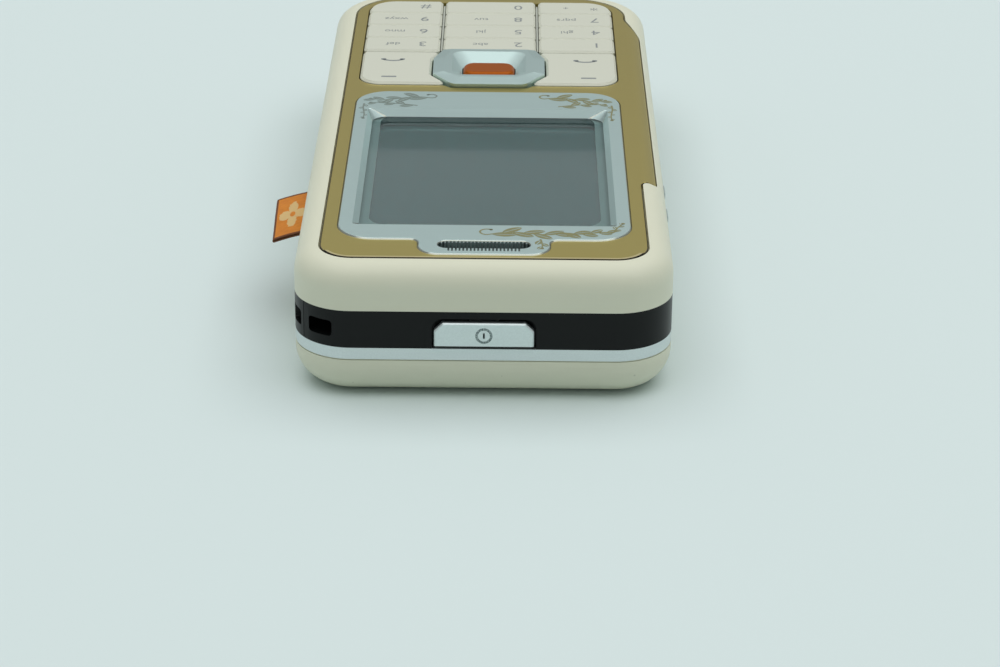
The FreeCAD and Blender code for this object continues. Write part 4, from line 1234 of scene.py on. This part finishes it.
@dataclass
class Keys(SubAssembly):
    """All the keys and the print on them."""

    relief: float = 0.022
    sink: float = 0.01
    digit_height: float = 1.9
    letter_height: float = 1.15
    digit_inset: float = 2.5
    letter_shift: float = -1.3
    letters: dict[str, tuple[str, str]] = field(
        default_factory=lambda: {
            "key_1": ("1", ""),
            "key_2": ("2", "abc"),
            "key_3": ("3", "def"),
            "key_4": ("4", "ghi"),
            "key_5": ("5", "jkl"),
            "key_6": ("6", "mno"),
            "key_7": ("7", "pqrs"),
            "key_8": ("8", "tuv"),
            "key_9": ("9", "wxyz"),
            "key_star": ("*", "+"),
            "key_0": ("0", ""),
            "key_hash": ("#", ""),
        }
    )
    dash_place: Point = (13.7, 12.9)
    dash_size: Point = (2.1, 0.5)
    handset_place: Point = (13.4, 19.5)
    handset_radius: float = 2.2
    handset_width: float = 0.42
    handset_arc: Point = (52, 76)
    ear_place: Point = (1.3, 0.62)
    ear_size: Point = (0.72, 0.62)
    mark_place: Point = (0.12, 8.58)
    mark_radius: float = 0.86
    mark_line: float = 0.3
    mark_bar: Point = (0.21, 0.7)
    mark_proud: float = 0.001

    def stamp(self, node: str, sketch: Sketch, place: Sequence[float]) -> None:
        """Prints a drawing on a cream key, its origin at a place in millimetres."""
        mesh = sketch.raised(f"{node}_print", self.relief, Facing.UP_TO_USER, place)
        self.add(f"{node}_print", mesh, PRINT_GREY, "cream_keys", node)

    def legends(self) -> None:
        """Digits and letters on the number keys."""
        for node, (digit, word) in self.letters.items():
            low, high = self.box_of(node)
            middle = (low + high) / 2
            half = (high.x - low.x) / 2
            sketch = Sketch()
            sketch.words(digit, -(half - self.digit_inset), 0, self.digit_height)
            if word:
                sketch.words(word, -self.letter_shift, 0, self.letter_height)
            self.stamp(node, sketch, (middle.x, middle.y, high.z - self.sink))

    def soft_key_marks(self) -> None:
        """Handset and dash on each soft key."""
        for node, side in (("soft_key_left", 1), ("soft_key_right", -1)):
            top = self.box_of(node)[1].z
            sketch = Sketch()
            x, y = self.dash_place
            sketch.bar(-side * x, -y, *self.dash_size)
            x, y = self.handset_place
            radius = self.handset_radius
            sketch.arc(-side * x, -y - radius, radius, self.handset_width, *self.handset_arc)
            across, down = self.ear_place
            for end in (-1, 1):
                sketch.bar(-side * x + end * across, -y - down, *self.ear_size)
            self.stamp(node, sketch, (0, 0, top - self.sink))

    def power_mark(self) -> None:
        """Ring with a bar on the end key."""
        sketch = Sketch()
        sketch.arc(0, 0, self.mark_radius, self.mark_line, 0, 360, 32)
        sketch.bar(0, 0, *self.mark_bar)
        x, z = self.mark_place
        face = self.box_of("power_key")[0].y
        place = (x, face + self.relief - self.mark_proud, z)
        mesh = sketch.raised("power_key_print", self.relief, Facing.EARPIECE_END, place)
        self.add("power_key_print", mesh, MARK_GREY, "silver_key", "power_key")

    def build(self) -> None:
        """Dresses every key and prints on it."""
        self.dress(CREAM_KEYS, "soft_key_left", "soft_key_right", *self.letters)
        self.dress(SILVER_KEY, "nav_key")
        self.dress(POWER_SILVER, "power_key")
        self.dress(ORANGE_KEY, "centre_key")
        self.dress(GREY_KEYS, "volume_up_key", "volume_down_key")
        self.legends()
        self.soft_key_marks()
        self.power_mark()


@dataclass
class Insides(SubAssembly):
    """Parts inside the housing, with the chips on the circuit board."""

    chips: tuple[tuple[float, float, float, float, float], ...] = (
        (-12.5, -28.5, 6.0, 6.0, 0.9),
        (-4.0, -28.0, 5.0, 7.0, 1.0),
        (-11.5, -20.5, 8.0, 4.5, 0.8),
        (-2.5, -20.0, 4.0, 4.0, 0.7),
        (2.2, -24.0, 1.2, 2.0, 0.5),
        (2.2, -27.5, 1.2, 2.0, 0.5),
        (9.5, -24.5, 5.0, 5.0, 0.9),
    )
    chip_corner: float = 0.25
    chip_edge: float = 0.08
    chip_sink: float = 0.01

    def chip_pieces(self) -> None:
        """Chips under the board, between the camera and the battery."""
        under = self.box_of("circuit_board")[0].z
        for index, (x, y, width, depth, height) in enumerate(self.chips):
            low = (x - width / 2, y - depth / 2, under - height)
            high = (x + width / 2, y + depth / 2, under + self.chip_sink)
            shape = block(low, high, self.chip_corner, self.chip_edge, 2)
            self.make(f"chip_{index + 1}", shape, CHIP_BLACK, "board_green")

    def build(self) -> None:
        """Dresses the parts inside."""
        self.dress(RUBBER, "key_mat", "nav_pad")
        self.dress(BOARD_GREEN, "circuit_board")
        self.dress(DOME_FILM, "dome_sheet")
        self.dress(TIN, "shield_cans", "vibration_motor", "earpiece", "loudspeaker")
        self.dress(SCREW_STEEL, "housing_screws")
        self.dress(CONTACT_GOLD, "battery_contacts", "motor_weight")
        self.dress(BATTERY_WRAP, "battery")
        self.dress(
            SOCKET_BLACK,
            "charging_jack",
            "system_connector",
            "microphone",
            "power_switch",
            "volume_switches",
            "sim_holder",
            "antenna_carrier",
            "camera_module",
        )
        self.chip_pieces()


@dataclass
class Back(SubAssembly):
    """Camera glass and loudspeaker cloth in the back."""

    camera_y: float = -38.5
    lens_radius: float = 0.95
    lens_height: float = 0.3
    lens_level: float = 1.05
    mask_inner: float = 1.65
    mask_outer: float = 2.55
    mask_level: float = 0.615
    mask_thickness: float = 0.02
    cloth_level: float = 2.05
    cloth_thickness: float = 0.1
    cloth_corner: float = 0.25
    cloth_half: Sequence[float] = (2.15, 2.85, 3.55, 2.85, 2.15)
    slot_pitch: float = 1.7
    slot_half: float = 0.37
    speaker_place: Point = (-11.5, -39.0)

    def camera(self) -> None:
        """Glass of the lens and the dark ring round it."""
        lens = bmesh.new()
        size = (self.lens_radius, self.lens_radius, self.lens_height)
        place = filling((0, self.camera_y, self.lens_level), size)
        bmesh.ops.create_uvsphere(lens, u_segments=32, v_segments=16, radius=1.0, matrix=place)
        for face in lens.faces:
            face.smooth = True
        self.make("camera_lens", lens, LENS_GLASS, "window_pane")
        middle = (0, self.camera_y, self.mask_level)
        mask = ring(middle, self.mask_inner, self.mask_outer, self.mask_thickness)
        self.make("camera_ring", mask, SOCKET_BLACK, "socket_black")

    def cloth(self) -> None:
        """Strip of cloth at the bottom of each sound slot."""
        x, y = self.speaker_place
        count = len(self.cloth_half)
        for index, half in enumerate(self.cloth_half):
            middle = x + (index - (count - 1) / 2) * self.slot_pitch
            low = (middle - self.slot_half, y - half, self.cloth_level)
            high = (middle + self.slot_half, y + half, self.cloth_level + self.cloth_thickness)
            shape = block(low, high, self.cloth_corner, 0.0, 3)
            self.make(f"speaker_cloth_{index + 1}", shape, SPEAKER_CLOTH, "dark_mesh")

    def build(self) -> None:
        """Builds the camera and the cloth."""
        self.camera()
        self.cloth()


@dataclass
class Tag(SubAssembly):
    """Folded ribbon in the side: one woven sheet, bent double round a fold at its outer end."""

    width: float = 13.4
    near: float = -29.8
    root: float = -21.15
    tip: float = -26.4
    mouth: float = -22.7
    level: float = 11.81
    droop: float = 1.15
    spread: float = 0.15
    cloth: float = 0.16
    droop_straight: float = 0.75
    ripple: float = 0.07
    ripple_waves: float = 1.2
    ripple_start: float = 0.6
    skew: float = 0.45
    across_cuts: int = 72
    along_cuts: int = 36

    def past_mouth(self, out: float) -> float:
        """Share of the visible ribbon, mouth to tip, that lies within a distance from its root."""
        return max(0.0, out - (self.root - self.mouth)) / (self.mouth - self.tip)

    def middle_line(self, out: float) -> float:
        """Height of the doubled ribbon at a distance out from its root."""
        past, straight = self.past_mouth(out), self.droop_straight
        return self.level - self.droop * (straight * past + (1 - straight) * past * past)

    def bend(self, flat: Vector) -> Vector:
        """Place of a point of the flat sheet.

        Args:
            flat: The point, x across the fold and y along it.

        Returns:
            Its place in millimetres.
        """
        fold = self.spread * math.pi / 2
        reach = self.root - self.tip - self.spread
        distance = abs(flat.x)
        side = 1 if flat.x >= 0 else -1
        if distance <= fold:
            angle = distance / self.spread
            out = reach + self.spread * math.cos(angle)
            lift = self.spread * math.sin(angle)
        else:
            out = reach - (distance - fold)
            lift = self.spread
        past = self.past_mouth(out)
        phase = flat.y / self.width * 2 * math.pi * self.ripple_waves + self.ripple_start
        wave = self.ripple * past * math.sin(phase)
        share = past * (0.5 + flat.y / self.width)
        x = self.root - out - self.skew * share
        z = self.middle_line(out) + side * lift + wave
        return Vector((x, self.near + self.width / 2 + flat.y, z))

    def sheet(self) -> bmesh.types.BMesh:
        """Flat grid with its map, bent into the folded ribbon.

        Returns:
            The ribbon's bmesh in millimetres.
        """
        half_length = self.root - self.tip - self.spread + self.spread * math.pi / 2
        shape = bmesh.new()
        bmesh.ops.create_grid(
            shape,
            x_segments=self.across_cuts,
            y_segments=self.along_cuts,
            size=0.5,
            matrix=Matrix.Diagonal((2 * half_length, self.width, 1, 1)),
        )
        layer = shape.loops.layers.uv.new("weave")
        for face in shape.faces:
            face.smooth = True
            for loop in face.loops:
                loop[layer].uv = (loop.vert.co.x * MM, loop.vert.co.y * MM)
        for vertex in shape.verts:
            vertex.co = self.bend(vertex.co)
        return shape

    def build(self) -> None:
        """Makes the ribbon in place of its plain solid."""
        ribbon = self.make("ribbon", self.sheet(), TAG_ORANGE, "orange_fabric")
        thick = ribbon.modifiers.new("cloth", "SOLIDIFY")
        thick.thickness = self.cloth * MM
        thick.offset = 0.0
        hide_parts("fabric_tag")


@dataclass
class Studio:
    """Table, light and camera. Lengths are in metres here."""

    floor_half: float = 3.0
    world_colour: Colour = (0.95, 1.0, 1.0, 1.0)
    world_base: float = 0.22
    world_sides: float = 0.23
    world_back: float = 0.06
    over_size: Point = (2.2, 2.0)
    over_place: Sequence[float] = (0.13, 0.11, 1.4)
    over_watts: float = 21.6
    back_size: Point = (2.6, 1.0)
    back_distance: float = 2.0
    back_low: float = 21.54
    back_watts: float = 1.45
    focal_pixels: float = 2829.27
    image_width: int = 1000
    sensor_width: float = 36.0
    nearest_seen: float = 0.01
    camera_place: Sequence[float] = (0.002685, -0.35430, 0.14780)
    pitch: float = 24.729
    yaw: float = -0.128
    roll: float = 0.508

    def floor(self) -> None:
        """Wide plain table."""
        shape = bmesh.new()
        bmesh.ops.create_grid(shape, x_segments=1, y_segments=1, size=self.floor_half)
        mesh = finished(shape, "table", Matrix.Identity(4))
        paint(mesh, TABLE_PAINT)
        table = bpy.data.objects.new("table", mesh)
        bpy.context.scene.collection.objects.link(table)

    def world(self) -> None:
        """Pale surroundings, brightest at the sides and dimmest behind the camera."""
        world = bpy.data.worlds.new("studio")
        graph = Graph(world)
        towards = graph.places("Generated")
        sides, back = abs(graph.part(towards, 0)), graph.part(towards, 1)
        strength = sides * self.world_sides + back * self.world_back
        background = world.node_tree.nodes["Background"]
        background.inputs["Color"].default_value = self.world_colour
        graph.join(strength + self.world_base, background.inputs["Strength"])
        bpy.context.scene.world = world

    def softbox(
        self, name: str, size: Point, watts: float, place: Sequence[float], tilt: float
    ) -> None:
        """Rectangular soft lamp.

        Args:
            name: Its name.
            size: Its two sides.
            watts: Its power.
            place: Its middle.
            tilt: Turn about X from facing down, in degrees.
        """
        light = bpy.data.lights.new(name, "AREA")
        light.shape = "RECTANGLE"
        light.size, light.size_y = size
        light.energy = watts
        lamp = bpy.data.objects.new(name, light)
        lamp.matrix_world = Matrix.Translation(place) @ turned(tilt, "X")
        bpy.context.scene.collection.objects.link(lamp)

    def lamps(self) -> None:
        """One wide lamp overhead and a low one behind the connector end, for the glass."""
        self.softbox("overhead", self.over_size, self.over_watts, self.over_place, 0)
        low = self.back_distance * math.tan(math.radians(self.back_low))
        place = (0, self.back_distance, low + self.back_size[1] / 2)
        self.softbox("behind", self.back_size, self.back_watts, place, -90)

    def camera(self) -> None:
        """Camera at the photograph's place, turned by yaw, pitch down and roll."""
        data = bpy.data.cameras.new("view")
        data.sensor_fit = "HORIZONTAL"
        data.sensor_width = self.sensor_width
        data.lens = self.focal_pixels / self.image_width * self.sensor_width
        data.clip_start = self.nearest_seen
        camera = bpy.data.objects.new("view", data)
        turn = turned(-self.yaw) @ turned(90 - self.pitch, "X") @ turned(self.roll)
        camera.matrix_world = Matrix.Translation(self.camera_place) @ turn
        bpy.context.scene.collection.objects.link(camera)
        bpy.context.scene.camera = camera

    def build(self) -> None:
        """Sets the whole studio."""
        self.floor()
        self.world()
        self.lamps()
        self.camera()
        bpy.context.scene.view_settings.view_transform = "Standard"


def main() -> None:
    """Builds every sub-assembly in order, then the studio."""
    logging.basicConfig(level=logging.INFO, format="%(message)s")
    for group in (Housing(), Display(), Keys(), Insides(), Back(), Tag()):
        log.info("%s", type(group).__name__)
        group.build()
    Studio().build()
    log.info("studio set")


if __name__ == "__main__":
    main()
